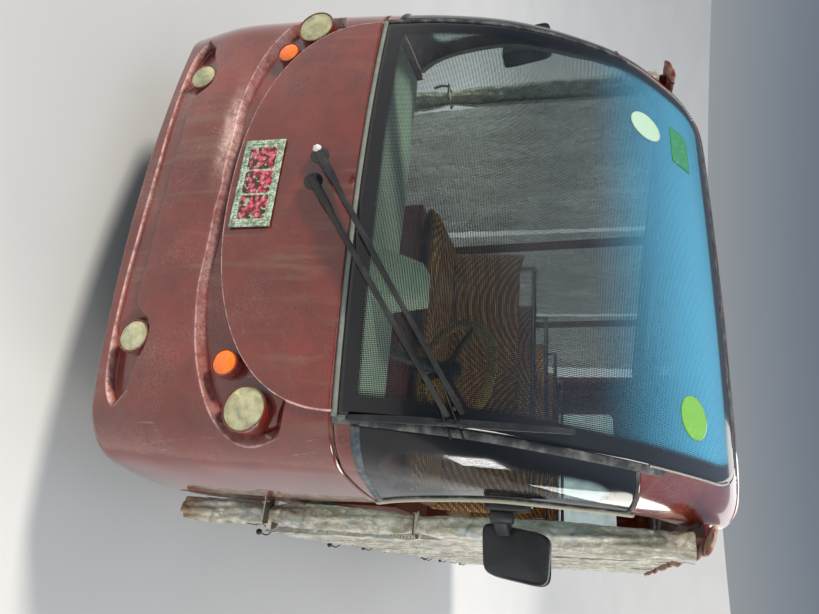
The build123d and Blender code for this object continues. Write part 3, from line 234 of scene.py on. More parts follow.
def grid_faces(rows, columns, closed_rows=False, closed_columns=False, flip=False):
    """Quads between the neighbours of a grid whose points are numbered row by row."""
    r = np.arange(rows if closed_rows else rows - 1)
    c = np.arange(columns if closed_columns else columns - 1)
    r, c = grid_of(r, c)
    r2, c2 = (r + 1) % rows, (c + 1) % columns
    quads = np.stack([r * columns + c, r2 * columns + c, r2 * columns + c2, r * columns + c2], -1)
    quads = quads.reshape(-1, 4)
    return (quads[:, ::-1] if flip else quads).tolist()


def grid_piece(name, grid, material, thickness=0.0, flip=False, closed_columns=False, **options):
    """Surface through a grid of points, with a wall thickness that grows inwards."""
    faces = grid_faces(*grid.shape[:2], closed_columns=closed_columns, flip=flip)
    piece = mesh_piece(name, grid, faces, material, **options)
    if thickness:
        wall = piece.modifiers.new("wall", "SOLIDIFY")
        wall.thickness = thickness
        wall.offset = -1
    return piece


def point_values(piece, name, values):
    """Float attribute with one value for each vertex."""
    attribute = piece.data.attributes.new(name, "FLOAT", "POINT")
    attribute.data.foreach_set("value", np.asarray(values, np.float32).ravel())
    return piece


def set_uv(piece, uv):
    """UV map from one pair of values for each vertex."""
    layer = piece.data.uv_layers.new(name="UVMap")
    corners = np.empty(len(piece.data.loops), np.int32)
    piece.data.loops.foreach_get("vertex_index", corners)
    layer.data.foreach_set("uv", np.asarray(uv, np.float32).reshape(-1, 2)[corners].ravel())
    return piece


def joined(name, parts, material, **options):
    """One mesh from several (points, faces) pairs."""
    vertices, faces, start = [], [], 0
    for points, quads in parts:
        points = np.asarray(points, float).reshape(-1, 3)
        vertices.append(points)
        faces += [[i + start for i in face] for face in quads]
        start += len(points)
    return mesh_piece(name, np.concatenate(vertices), faces, material, **options)


def frames_along(path):
    """Side and up directions along a path, carried on from point to point without twist."""
    path = np.asarray(path, float)
    tangent = np.gradient(path, axis=0)
    tangent /= np.linalg.norm(tangent, axis=1, keepdims=True)
    up = np.array((0, 0, 1.0)) if abs(tangent[0, 2]) < .9 else np.array((1.0, 0, 0))
    sides, ups = [], []
    for t in tangent:
        side = np.cross(t, up)
        side /= np.linalg.norm(side)
        up = np.cross(side, t)
        sides.append(side)
        ups.append(up)
    return np.array(sides), np.array(ups)


def swept(path, profile, capped=True, scale=None):
    """(points, faces) of a closed profile, given as (side, up) pairs, carried along a path."""
    sides, ups = frames_along(path)
    profile = np.asarray(profile, float)
    size = np.ones(len(path)) if scale is None else np.asarray(scale, float)
    points = (np.asarray(path)[:, None] + sides[:, None] * (profile[None, :, :1] * size[:, None, None])
              + ups[:, None] * (profile[None, :, 1:] * size[:, None, None]))
    n = len(profile)
    faces = grid_faces(len(path), n, closed_columns=True, flip=True)
    if capped:
        faces += [list(range(n)), list(range((len(path) - 1) * n, len(path) * n))[::-1]]
    return points.reshape(-1, 3), faces


def circle(radius, count):
    """Closed round profile."""
    angle = round_angles(count)
    return radius * np.stack([np.cos(angle), np.sin(angle)], -1)


def superellipse(angle, power):
    """Point at each angle on a square of half width 1 with rounded corners: the ray's length is
    1 / (|cos|^p + |sin|^p)^(1 / p)."""
    c, s = np.cos(angle), np.sin(angle)
    reach = 1 / (np.abs(c) ** power + np.abs(s) ** power) ** (1 / power)
    return np.stack([reach * c, reach * s])


def ball(radius, count):
    """Half circle for turning into a ball, as (along, radius) pairs."""
    turn = np.linspace(0, math.pi, count)
    return np.stack([-radius * np.cos(turn), np.maximum(radius * np.sin(turn), TIP)], -1)


def rounded_bar(width, height, radius, count=4):
    """Closed profile of a bar with round edges: four quarter circles joined by straight sides."""
    points = []
    for quarter, (sx, sy) in enumerate(((1, 1), (-1, 1), (-1, -1), (1, -1))):
        angle = np.linspace(0, math.pi / 2, count) + quarter * math.pi / 2
        points.append(np.stack([sx * (width / 2 - radius) + radius * np.cos(angle),
                                sy * (height / 2 - radius) + radius * np.sin(angle)], -1))
    return np.concatenate(points)


def turned(profile, centre, axis, count=48):
    """(points, faces) of a profile, given as (along, radius) pairs, turned about an axis."""
    axis = np.asarray(axis, float) / np.linalg.norm(axis)
    side = np.cross(axis, (0, 0, 1.0) if abs(axis[2]) < .9 else (1.0, 0, 0))
    side /= np.linalg.norm(side)
    other = np.cross(axis, side)
    profile = np.asarray(profile, float)
    angle = round_angles(count)
    around = np.cos(angle)[:, None] * side + np.sin(angle)[:, None] * other
    points = np.asarray(centre, float) + profile[None, :, :1] * axis + profile[None, :, 1:] * around[:, None]
    return points.reshape(-1, 3), grid_faces(count, len(profile), closed_rows=True)


# Materials

class Nodes:
    """Short way to write a node tree: a socket's value is a number, a colour or another socket."""

    def __init__(self, tree):
        self.tree = tree

    def add(self, kind, values=None, out=0, **settings):
        """New node of a kind; returns its output socket."""
        node = self.tree.nodes.new(kind)
        for key, value in settings.items():
            setattr(node, key, value)
        for key, value in (values or {}).items():
            if isinstance(value, bpy.types.NodeSocket):
                self.tree.links.new(value, node.inputs[key])
            else:
                node.inputs[key].default_value = value
        return node.outputs[out]

    def math(self, operation, a, b=0.0, clamp=False):
        """Arithmetic on two values."""
        return self.add("ShaderNodeMath", {0: a, 1: b}, operation=operation, use_clamp=clamp)

    def times(self, a, b, clamp=False):
        """Product of two values."""
        return self.math("MULTIPLY", a, b, clamp)

    def plus(self, a, b, clamp=False):
        """Sum of two values."""
        return self.math("ADD", a, b, clamp)

    def noise(self, scale, vector=None, detail=3.0, rough=.5, stretch=None):
        """Noise value on Object coordinates or on a given vector, which may be stretched."""
        vector = vector or self.coords()
        if stretch:
            vector = self.add("ShaderNodeMapping", {"Vector": vector, "Scale": stretch})
        return self.add("ShaderNodeTexNoise", {"Vector": vector, "Scale": scale, "Detail": detail,
                                               "Roughness": rough})

    def cells(self, scale, **settings):
        """Distance to the middle, or on request to the edge, of random cells."""
        values = {"Vector": self.coords(), "Scale": scale}
        return self.add("ShaderNodeTexVoronoi", values, out="Distance", **settings)

    def coords(self):
        """Object coordinates."""
        return self.add("ShaderNodeTexCoord", out="Object")

    def band(self, value, low, high, out_low=0.0, out_high=1.0, kind="SMOOTHSTEP"):
        """Value mapped from one range to another and held at its ends."""
        return self.add("ShaderNodeMapRange", {"Value": value, "From Min": low, "From Max": high,
                                               "To Min": out_low, "To Max": out_high}, interpolation_type=kind)

    def patches(self, scale, low, high, out_low=0.0, out_high=1.0, **noise):
        """Noise in patches: its value mapped from low and high to the two ends."""
        return self.band(self.noise(scale, **noise), low, high, out_low, out_high)

    def mix(self, factor, a, b):
        """Colour between a and b."""
        return self.add("ShaderNodeMix", {0: factor, 6: a, 7: b}, out=2, data_type="RGBA")

    def bump(self, height, distance, strength=1.0, normal=None):
        """Normal bent by a height."""
        values = {"Height": height, "Distance": distance, "Strength": strength}
        if normal:
            values["Normal"] = normal
        return self.add("ShaderNodeBump", values)

    def part(self, vector, name):
        """One coordinate of a vector."""
        return self.add("ShaderNodeSeparateXYZ", {0: vector}, out=name)

    def axis(self, name):
        """One of the Object coordinates."""
        return self.part(self.coords(), name)

    def group(self, tree, **values):
        """Group node with its values; returns all its output sockets."""
        node = self.tree.nodes.new("ShaderNodeGroup")
        node.node_tree = tree
        for key, value in values.items():
            key = key.replace("_", " ")
            if isinstance(value, bpy.types.NodeSocket):
                self.tree.links.new(value, node.inputs[key])
            else:
                node.inputs[key].default_value = value
        return node.outputs

    def surface(self, **values):
        """Principled shader; keys are socket names with _ for a space."""
        values = {key.replace("_", " "): value for key, value in values.items()}
        return self.add("ShaderNodeBsdfPrincipled", values)

    def gloss_share(self, ior, normal=None):
        """Share of light that a thin wall reflects: Fresnel on the side that faces the eye, 0 behind it."""
        fresnel = self.add("ShaderNodeFresnel", {"IOR": ior, **({"Normal": normal} if normal else {})})
        front = self.math("SUBTRACT", 1.0, self.add("ShaderNodeNewGeometry", out="Backfacing"))
        return self.math("MULTIPLY", fresnel, front)

    def blend(self, factor, first, second):
        """Shader between two shaders."""
        return self.add("ShaderNodeMixShader", {0: factor, 1: first, 2: second})

    def see_through(self, colour):
        """Transparent shader that tints what is behind it."""
        return self.add("ShaderNodeBsdfTransparent", {"Color": colour})

    def attribute(self, name):
        """Value that a piece holds at each point under this name."""
        return self.add("ShaderNodeAttribute", {}, out="Fac", attribute_name=name)

    def dusted(self, dust, **values):
        """Principled shader whose colour and roughness come out of the dust group with these values."""
        film = self.group(dust_group(), **dust)
        return self.surface(Base_Color=film["Color"], Roughness=film["Roughness"], **values)

    def output(self, shader):
        """Material output."""
        self.tree.links.new(shader, self.tree.nodes.new("ShaderNodeOutputMaterial").inputs["Surface"])


MATERIALS = {}


def finish(name):
    """Decorator: the function that follows builds the material of this name once."""
    def wrap(build):
        def get(*arguments):
            key = (name, *arguments)
            if key not in MATERIALS:
                material = bpy.data.materials.new("_".join(str(part) for part in key))
                material.use_nodes = True
                material.node_tree.nodes.clear()
                nodes = Nodes(material.node_tree)
                nodes.output(build(nodes, *arguments))
                MATERIALS[key] = material
            return MATERIALS[key]
        return get
    return wrap


def new_group(name, inputs, outputs):
    """Empty shader node group with its sockets; inputs are (name, kind, default)."""
    tree = bpy.data.node_groups.new(name, "ShaderNodeTree")
    for label, kind, default in inputs:
        socket = tree.interface.new_socket(label, in_out="INPUT", socket_type=kind)
        socket.default_value = default
    for label, kind in outputs:
        tree.interface.new_socket(label, in_out="OUTPUT", socket_type=kind)
    return tree, tree.nodes.new("NodeGroupInput").outputs, tree.nodes.new("NodeGroupOutput").inputs


FLOAT, COLOR, VECTOR = "NodeSocketFloat", "NodeSocketColor", "NodeSocketVector"
GROUPS = {}


def dust_group():
    """Dust: a pale film in patches that thickens towards the sill and on faces that look up."""
    if "dust" not in GROUPS:
        tree, inside, outside = new_group("Dust", [
            ("Color", COLOR, (1, 1, 1, 1)), ("Dust Color", COLOR, (.42, .36, .28, 1)), ("Amount", FLOAT, .4),
            ("Scale", FLOAT, 6.0), ("Roughness", FLOAT, .3)], [("Color", COLOR), ("Roughness", FLOAT)])
        n = Nodes(tree)
        patches = n.patches(inside["Scale"], .38, .8, detail=8.0, rough=.65)
        fine = n.patches(220.0, .35, .75, detail=2.0)
        low = n.band(n.axis("Z"), 1.0, .25, .25, 1.0)
        normal = n.add("ShaderNodeNewGeometry", out="Normal")
        up = n.band(n.part(normal, "Z"), .2, 1.0, 0.0, .8)
        film = n.times(n.plus(low, up), n.times(patches, fine))
        film = n.times(film, inside["Amount"], clamp=True)
        tree.links.new(n.mix(film, inside["Color"], inside["Dust Color"]), outside["Color"])
        tree.links.new(n.plus(inside["Roughness"], n.times(film, .5), clamp=True),
                       outside["Roughness"])
        GROUPS["dust"] = tree
    return GROUPS["dust"]


def scuff_group():
    """Scuffs: thin scratches, from noise drawn out in one direction, that come in clusters."""
    if "scuff" not in GROUPS:
        tree, inside, outside = new_group("Scuffs", [
            ("Along", VECTOR, (60, 60, 4)), ("Amount", FLOAT, .5), ("Scale", FLOAT, 3.0)], [("Mask", FLOAT)])
        n = Nodes(tree)
        drawn = n.add("ShaderNodeVectorMath", {0: n.coords(), 1: inside["Along"]}, operation="MULTIPLY")
        lines = n.patches(2.2, .62, .72, vector=drawn, detail=4.0, rough=.7)
        clusters = n.patches(inside["Scale"], .5, .72, detail=5.0, rough=.6)
        tree.links.new(n.times(n.times(lines, clusters), inside["Amount"], clamp=True),
                       outside["Mask"])
        GROUPS["scuff"] = tree
    return GROUPS["scuff"]


def grain_group():
    """Moulded grain: fine cells and a softer unevenness, as a height."""
    if "grain" not in GROUPS:
        tree, inside, outside = new_group("Grain", [("Scale", FLOAT, 900.0)], [("Height", FLOAT)])
        n = Nodes(tree)
        cells = n.cells(inside["Scale"])
        tree.links.new(n.plus(cells, n.times(n.noise(30.0), .6)), outside["Height"])
        GROUPS["grain"] = tree
    return GROUPS["grain"]


def lin(red, green, blue):
    """Linear colour with alpha from display values from 0 to 255."""
    return tuple(float(((c / 255 + .055) / 1.055) ** 2.4 if c > 10 else c / 255 / 12.92)
                 for c in (red, green, blue)) + (1.0,)


@finish("gloss_maroon")
def maroon_paint(n):
    """Gloss maroon gel coat, faded in patches, with painted brown reflection streaks and scuffs. The nose's
    point attribute paints highlight lines, near 1, on its edges and a highlight, .2, on the lamp shelf, and
    holds one real rub."""
    settings = bpy.context.scene.bus_body
    faded = n.patches(1.7, .4, .68, detail=6.0, rough=.6)
    base = n.mix(faded, tuple(settings.paint_colour), tuple(settings.paint_faded))
    mottled = n.patches(9.0, .35, .7, 0.0, .5, detail=6.0, rough=.7)
    base = n.mix(mottled, base, lin(62, 18, 15))
    # Painted reflection: vertical brown streaks that stand for the surroundings mirrored in the gloss.
    brown_reflection_streaks = n.times(n.band(n.noise(5.0, detail=5.0, stretch=(5, 5, .22)), .50, .68),
                   n.patches(2.0, .42, .6, detail=3.0))
    base = n.mix(n.times(brown_reflection_streaks, .55), base, lin(112, 78, 58))
    streaks = n.group(scuff_group(), Along=(34, 34, 1.6), Amount=.5, Scale=2.4)["Mask"]
    rubs = n.group(scuff_group(), Along=(9, 9, 44), Amount=.2, Scale=3.1)["Mask"]
    # Streaks and rubs are real scuffs. The attribute read below adds painted highlight lines on the nose's
    # edges, a painted highlight on the lamp shelf and one real rub mark.
    worn = n.times(n.math("MAXIMUM", streaks, rubs), .45)
    edge = n.attribute("worn")
    broken = n.patches(44.0, .38, .60, .30, 1.0, detail=6.0, rough=.75)
    worn = n.math("MAXIMUM", worn, n.times(edge, broken), clamp=True)
    # Pale pink of both the scuffs and the painted highlights.
    base = n.mix(worn, base, lin(224, 184, 174))
    dusty = n.group(dust_group(), Color=base, Amount=settings.dust, Roughness=.20)
    rough = n.plus(dusty["Roughness"], n.times(worn, .2), clamp=True)
    waves = n.bump(n.noise(3.2, detail=1.0), .010, .2)
    normal = n.bump(n.noise(420.0, detail=2.0), .0002, .3, normal=waves)
    return n.surface(Base_Color=dusty["Color"], Roughness=rough, Coat_Weight=1.0, Coat_Roughness=.05,
                     Normal=normal)


@finish("clear_glass")
def glass(n, tint_and_sky_reflection_band=0.0):
    """Bent safety glass: see-through with a Fresnel gloss, a black printed border whose dots thin out
    inwards, dust, and a tinted band at the top of the windscreen painted bright sky blue as a painted sky
    reflection. The edge attribute holds the distance to the glass's edge, and the UV map is in metres."""
    settings = bpy.context.scene.bus_glass
    edge = n.attribute("edge")
    uv = n.add("ShaderNodeUVMap", {})
    cell = n.add("ShaderNodeVectorMath", {0: uv, 1: (210, 210, 0)}, operation="MULTIPLY")
    cell = n.add("ShaderNodeVectorMath", {0: cell}, operation="FRACTION")
    off = n.add("ShaderNodeVectorMath", {0: cell, 1: (.5, .5, 0)}, operation="DISTANCE", out="Value")
    size = n.band(edge, 0.0, settings.dot_width, .72, .12, kind="LINEAR")
    dots = n.math("LESS_THAN", off, size)
    dots = n.times(dots, n.math("LESS_THAN", edge, settings.dot_width))
    solid = n.math("LESS_THAN", edge, 0.0)
    printed = n.math("MAXIMUM", dots, solid)
    # Mask of the top band, where the see-through tint turns sky blue: a painted sky reflection over a tinted
    # band.
    shade = n.band(n.axis("Z"), 1.50, 1.93)
    shade = n.times(shade, tint_and_sky_reflection_band)
    clear = n.mix(shade, tuple(settings.tint), lin(116, 210, 240))
    film = n.times(n.patches(5.0, .35, .85, detail=7.0, rough=.65), .05)
    fresnel = n.gloss_share(1.52)
    see = n.see_through(clear)
    gloss = n.surface(Base_Color=(.9, .95, 1, 1), Metallic=1.0, Roughness=.03)
    pane = n.blend(fresnel, see, gloss)
    dust = n.surface(Base_Color=lin(168, 170, 166), Roughness=.8)
    pane = n.blend(film, pane, dust)
    # Lit sky-blue coat over the top band: a painted sky reflection.
    sky = n.surface(Base_Color=lin(84, 196, 236), Roughness=.12, Coat_Weight=1.0, Coat_Roughness=.03)
    pane = n.blend(n.times(shade, .86), pane, sky)
    frit = n.surface(Base_Color=(.006, .006, .007, 1), Roughness=.12, Coat_Weight=.3, Coat_Roughness=.03)
    return n.blend(printed, pane, frit)


@finish("rubber_seal")
def seal_rubber(n, red=60, green=62, blue=62):
    """Weathered sealing rubber, chalky in patches."""
    chalk = n.patches(26.0, .4, .75, 0.0, .5, detail=5.0, rough=.7)
    colour = n.mix(chalk, lin(red, green, blue), lin(150, 148, 140))
    normal = n.bump(n.group(grain_group(), Scale=700.0)["Height"], .0004, .5)
    return n.surface(Base_Color=colour, Roughness=.7, Normal=normal)


# Nose

PANEL_HALF, PANEL_DEEP, PANEL_POWER = .613, .355, 2.33
PANEL_RISE = .008
# Outer edge of the lamp recess, from the top of its horn round the lamp to the middle: x, z
RECESS_EDGE = [(.655, .796), (.682, .770), (.699, .738), (.705, .706), (.700, .676), (.683, .650),
               (.655, .626), (.600, .594), (.533, .566), (.455, .545), (.362, .533), (.174, .532), (0, .538)]
RECESS_HORN = (math.radians(10.6), math.radians(12.6))
RECESS_DEEP, RECESS_MIDDLE = .030, .018
SHELF = .024
# Lower channel: its upper edge rises over the fog lamp's pocket, x, z
CHANNEL_TOP = [(.60, .318), (.575, .352), (.545, .376), (.490, .399), (.425, .405), (.384, .396),
               (.362, .352), (.330, .343), (.19, .354), (0, .358)]
CHANNEL_LOW = [(.60, .300), (.55, .284), (.46, .280), (.31, .283), (.14, .290), (0, .294)]
CHANNEL_DEEP, POCKET_DEEP = .010, .030
POCKET_END = (math.radians(43.6), math.radians(45.4))
POCKET_FADE = (math.radians(54.5), math.radians(58.5))
LIP = .018
# Half width of the finer rows round an edge, and of the painted highlight line on it
NEAR, HIGHLIGHT_LINE = .006, .0018


def radial(outline, angle):
    """Distance from the middle of the waist to an outline of (x, z) points on the skin, at each angle
    below the horizontal, in the unrolled plane of plan length and height."""
    x, z = np.array(outline).T
    a = across(x, z)
    turn = np.arctan2(WAIST - z, a)
    order = np.argsort(turn)
    return through(turn[order], np.hypot(a, WAIST - z)[order], angle)


def eased(values, where, width):
    """Values smoothed along where by a bell-shaped weight."""
    weight = bell(where[:, None] - where, width) * np.gradient(where)
    return weight @ values / weight.sum(1)


def nose_grid():
    """Nose skin on rays from the middle of the waist. On each ray the distance runs through the edge of
    the raised panel, the recess, the channel's two edges and the border; the skin is the plan-arc hull,
    pushed out by a height that steps smoothly at each of these edges."""
    quarter = np.unique(np.r_[np.linspace(0, 90, 103), np.linspace(9.6, 13.6, 17),
                              np.linspace(43.8, 47.2, 15), np.linspace(54, 59, 13)])
    angle = np.radians(np.r_[quarter, 180 - quarter[-2::-1]])
    fold = np.minimum(angle, math.pi - angle)
    sin, cos = np.maximum(np.sin(fold), 1e-6), np.maximum(np.cos(fold), 1e-6)
    panel = ((cos / PANEL_HALF) ** PANEL_POWER + (sin / PANEL_DEEP) ** PANEL_POWER) ** (-1 / PANEL_POWER)
    border = (WAIST - SILL) / sin
    side = np.full_like(border, 1.1)
    for _ in range(4):
        side = along(MASK_END, WAIST - np.minimum(side, border) * sin) / cos
    border = np.minimum(border, side)
    recess = eased(radial(RECESS_EDGE, np.clip(fold, math.radians(11), None)), angle, math.radians(3.5))
    top = eased(radial(CHANNEL_TOP, np.clip(fold, POCKET_END[0], None)), angle, math.radians(2.5))
    top = np.maximum(top, recess + .03)
    low = eased(radial(CHANNEL_LOW, np.clip(fold, POCKET_END[0], None)), angle, math.radians(2.5))
    low = np.minimum(low, border - .012)
    top = np.minimum(top, low - .008)
    # Distances between which the rows are even, with the rows up to each
    stops = [(panel - NEAR, 20), (panel + NEAR, 16), (recess - SHELF, 6), (recess + .004, 16),
             (top - NEAR, 16), (top + NEAR, 8), (low - NEAR, 6), (low + NEAR, 8), (border, 7)]
    rows, start = [], np.full_like(panel, .002)
    for end, count in stops:
        rows.append(start[:, None] + (end - start)[:, None] * np.linspace(0, 1, count, endpoint=False))
        start = end
    r = np.concatenate(rows + [border[:, None]], 1)
    r = np.maximum.accumulate(r, 1)
    bend = fold[:, None]
    panel, recess, top, low = (v[:, None] for v in (panel, recess, top, low))
    horn = ramp(bend, *RECESS_HORN)
    deep = RECESS_MIDDLE + (RECESS_DEEP - RECESS_MIDDLE) * (1 - ramp(bend, math.radians(30), math.radians(50)))
    shelf = .55 * np.clip((r - recess + SHELF) / (SHELF + .002), 0, 1)
    shelf = shelf + .45 * ramp(r, recess - SHELF, recess + .003)
    height = PANEL_RISE * (1 - ramp(r, panel - .002, panel + .0015))
    height = height - deep * horn * ramp(r, panel - .0015, panel + .003) * (1 - shelf)
    pocket = ramp(bend, *POCKET_END) * (1 - ramp(bend, *POCKET_FADE))
    channel = CHANNEL_DEEP * ramp(bend, *POCKET_FADE) + POCKET_DEEP * pocket
    height = height - channel * ramp(r, top - .002, top + .003) * (1 - ramp(r, low - .005, low + .001))
    a = r * np.cos(angle)[:, None]
    z = WAIST - r * np.sin(angle)[:, None]
    on_shelf = ramp(r, recess - SHELF, recess - SHELF * .6) * (1 - ramp(r, recess - .002, recess + .003))
    # Painted highlights: thin lines on the panel edge, the recess lip and the channel edges, and a broad one
    # on the up-facing lamp shelf. The bell at a = -.20 below the ledge is a real rub mark.
    worn = 1.3 * bell(r - panel + .0012, .0021) + .9 * bell(a + .20, .13) * bell(z - .515, .020)
    worn = worn + horn * (.20 * on_shelf + .60 * bell(r - recess - .001, HIGHLIGHT_LINE))
    worn = worn + ramp(bend, *POCKET_END) * (.8 * bell(r - top, HIGHLIGHT_LINE) + .9 * bell(r - low, HIGHLIGHT_LINE))
    skin = hull(a, z)
    out = normals(skin)
    out[:, :3] = out[:, 3:4]
    skin = skin + out * height[..., None]
    lip = skin[:, -1:]
    inward = lip * (-1, -1, 0)
    inward /= np.linalg.norm(inward, axis=-1, keepdims=True)
    sag = np.array((0, 0, -.003))
    fold_under = [lip + inward * LIP * t + sag * math.sin(math.pi * t) for t in (.3, .6, 1.0)]
    return np.concatenate([skin] + fold_under, 1), np.pad(worn, ((0, 0), (0, 3)))


class BUS_OT_nose(bpy.types.Operator):
    """Nose skin with its raised panel, lamp recess and lower channel"""
    bl_idname = "bus.nose"
    bl_label = "Nose"

    def execute(self, context):
        grid, worn = nose_grid()
        piece = grid_piece("nose_skin", grid, maroon_paint(), thickness=.004, slot="body_paint")
        point_values(piece, "worn", worn)
        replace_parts(piece, "nose_mask")
        return {"FINISHED"}


# Front glass: windscreen and corner panes

SCREEN_LOW, SCREEN_TOP = .932, 1.897
SCREEN_CORNER = .075
# Side border of the windscreen: z, x
SCREEN_SIDE = np.array([(.920, .616), (1.257, .631), (1.442, .641), (1.649, .650), (1.900, .652)])
PANE_GAP = .020
# Rear edge of the corner pane: z, station
PANE_REAR = np.array([(.900, .500), (.960, .452), (1.020, .422), (1.110, .402), (1.260, .398), (1.390, .446),
                      (1.480, .492), (1.540, .520), (1.600, .560)])
PANE_TOP = 1.612
PANE_LOW = np.array([(0, .976), (.5, .966), (1, .936)])


def inset(first, second, radius):
    """Distance to the nearer of two edges, with a round corner where they meet."""
    corner = radius - np.hypot(np.maximum(radius - first, 0), np.maximum(radius - second, 0))
    return np.minimum(np.minimum(first, second), corner)


def from_front(x, z):
    """Points of the body's skin at places x, z seen from the front."""
    return hull(np.sign(x) * across(np.abs(x), z), z)


def screen_half(z):
    """Half width of the windscreen, with round top corners."""
    half = through(SCREEN_SIDE[:, 0], SCREEN_SIDE[:, 1], z)
    over = np.clip(z - (SCREEN_TOP - SCREEN_CORNER), 0, SCREEN_CORNER)
    return half - SCREEN_CORNER + np.sqrt(np.maximum(SCREEN_CORNER ** 2 - over ** 2, 0))


def screen_grid(columns=91, rows=90):
    """Windscreen on the hull: x is a share of its half width at each height. Returns the points, the
    distance to the glass's edge and a flat map in metres."""
    v, u = grid_of(shares(rows), shares(columns, -1))
    z = SCREEN_LOW + (SCREEN_TOP - SCREEN_LOW) * (1 - (1 - v) ** 1.25)
    x = u * screen_half(z)
    side = screen_half(z) - np.abs(x)
    edge = inset(side, np.minimum((z - SCREEN_LOW) * 1.1, (SCREEN_TOP - z) * 2.2), .06)
    return from_front(x, z), edge, np.stack([x, z * 1.2], -1)


def pane_span(z):
    """Plan lengths of the front and rear edge of the corner pane at each height."""
    front = across(through(SCREEN_SIDE[:, 0], SCREEN_SIDE[:, 1], z) + PANE_GAP, z)
    return front, along(through(PANE_REAR[:, 0], PANE_REAR[:, 1], z), z)


def pane_skin(sign, z, q):
    """Points of the skin over a corner pane, at a share q of the way from its front to its rear edge."""
    front, rear = pane_span(z)
    return hull(sign * (front + (rear - front) * q), z)


def pane_top(q):
    """Height of the corner pane's upper edge, which falls towards the rear with the square of q."""
    return PANE_TOP - .03 * q ** 2


def pane_grid(columns=54, rows=76):
    """Corner pane: rows between its sloping foot and its top, columns between its front and rear edge."""
    v, q = grid_of(shares(rows), shares(columns))
    foot = through(PANE_LOW[:, 0], PANE_LOW[:, 1], q)
    top = pane_top(q)
    z = foot + (top - foot) * v
    front, rear = pane_span(z)
    a = front + (rear - front) * q
    side = np.minimum((a - front) * .9, (rear - a) * .72)
    return a, z, inset(side, np.minimum(z - foot, top - z), .11)


class BUS_OT_glass(bpy.types.Operator):
    """Windscreen and corner panes with their printed borders and seals"""
    bl_idname = "bus.glass"
    bl_label = "Front glass"

    def execute(self, context):
        settings = context.scene.bus_glass
        skin, edge, uv = screen_grid()
        look = dict(thickness=settings.thickness, slot="screen_glass")
        screen = grid_piece("windscreen_pane", skin, glass(1.0), flip=True, **look)
        point_values(screen, "edge", edge - settings.border)
        set_uv(screen, uv)
        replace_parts(screen, "windscreen")
        for sign, side in SIDES:
            a, z, edge = pane_grid()
            pane = grid_piece(f"corner_pane_{side}", hull(sign * a, z), glass(0.0), flip=sign > 0, **look)
            point_values(pane, "edge", edge - settings.border * .8)
            set_uv(pane, np.stack([a, z], -1))
            if sign > 0:
                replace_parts(pane, "corner_windows")
        self.seals()
        return {"FINISHED"}

    def seals(self):
        """Grey sealant between the panes, and a flat rubber along the foot of the windscreen."""
        rubber, dark = seal_rubber(112, 116, 106), seal_rubber(44, 46, 48)
        for sign, side in SIDES:
            z = np.linspace(SCREEN_LOW - .01, 1.68, 80)
            z, q = grid_of(z, shares(6))
            inner = across(through(SCREEN_SIDE[:, 0], SCREEN_SIDE[:, 1], z), z)
            skin = hull(sign * (inner - .002 + (PANE_GAP + .006) * q), z)
            bead = .0035 * np.sin(math.pi * q) - .0008
            grid_piece(f"pane_seal_{side}", pushed(skin, bead, flip=sign > 0), dark, thickness=.004,
                       flip=sign > 0, slot="black_plastic")
        x = np.linspace(-.622, .622, 120)
        q, x = grid_of(shares(7), x)
        z = WAIST - .002 + .016 * q
        skin = from_front(x, z)
        grid_piece("screen_foot_seal", pushed(skin, .004 * np.sin(math.pi * q) - .0005, flip=True), rubber,
                   thickness=.004, flip=True, slot="black_plastic")


# Dome, waist strip and front posts round the glass

class BUS_OT_dome(bpy.types.Operator):
    """Maroon dome corners, header and waist strips round the front glass"""
    bl_idname = "bus.dome"
    bl_label = "Front frame"

    def execute(self, context):
        pieces = []
        for sign, side in SIDES:
            pieces.append(self.dome(sign, side))
            self.waist(sign, side)
            self.beads(sign, side)
        self.header()
        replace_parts(pieces[0], "front_frame")
        return {"FINISHED"}

    def dome(self, sign, side):
        """Corner of the roof: from the windscreen's border back to the side opening, the eave and the
        front edge of the roof panel."""
        v, q = grid_of(shares(70), shares(54))
        top = pane_top(q) + .004
        z = top + (DOME_TOP - top) * v ** .85
        front = across(screen_half(z) + .004, z)
        opening = through([1.54, 1.65, EAVE, DOME_TOP], [.520, .610, FRAME_END, FRAME_END], z)
        rear = np.maximum(along(opening, z), front + .002)
        return grid_piece(f"dome_{side}", hull(sign * (front + (rear - front) * q), z), maroon_paint(),
                          thickness=.006, flip=sign > 0, slot="body_paint")

    def waist(self, sign, side):
        """Strip between the lower body's seam and the foot of the corner pane."""
        v, q = grid_of(shares(14), shares(60))
        foot = through(PANE_LOW[:, 0], PANE_LOW[:, 1], q) - .003
        z = WAIST + .003 + (foot - WAIST - .003) * v
        front, rear = pane_span(z)
        a = front - .004 + (rear - front + .004) * q
        skin = hull(sign * a, z)
        round_edge = -.003 * (1 - ramp(v, 0, .12)) - .003 * ramp(v, .9, 1)
        grid_piece(f"waist_strip_{side}", pushed(skin, round_edge, flip=sign > 0), maroon_paint(),
                   thickness=.006, flip=sign > 0, slot="body_paint")

    def beads(self, sign, side):
        """Row of pale beads along the dome's edge on the windscreen."""
        z = np.linspace(1.645, 1.868, 40)
        centres = hull(sign * (across(screen_half(z) + .001, z)), z)
        parts = [turned(ball(.0032, 5), centre, (0, -1, 0), count=8) for centre in centres]
        joined(f"dome_beads_{side}", parts, seal_rubber(190, 188, 182), slot="black_plastic")

    def header(self):
        """Strip between the windscreen's top edge and the roof panel."""
        v, u = grid_of(shares(12), shares(100, -1))
        x = u * .655
        low = np.where(np.abs(x) < .577, SCREEN_TOP + .002, 1.9)
        z = low + (HEADER_TOP - low) * v
        grid_piece("header_strip", from_front(x, z), seal_rubber(40, 38, 40), thickness=.006, flip=True,
                   slot="body_paint")


# Nose fittings: lamps, plate, wiper and stickers

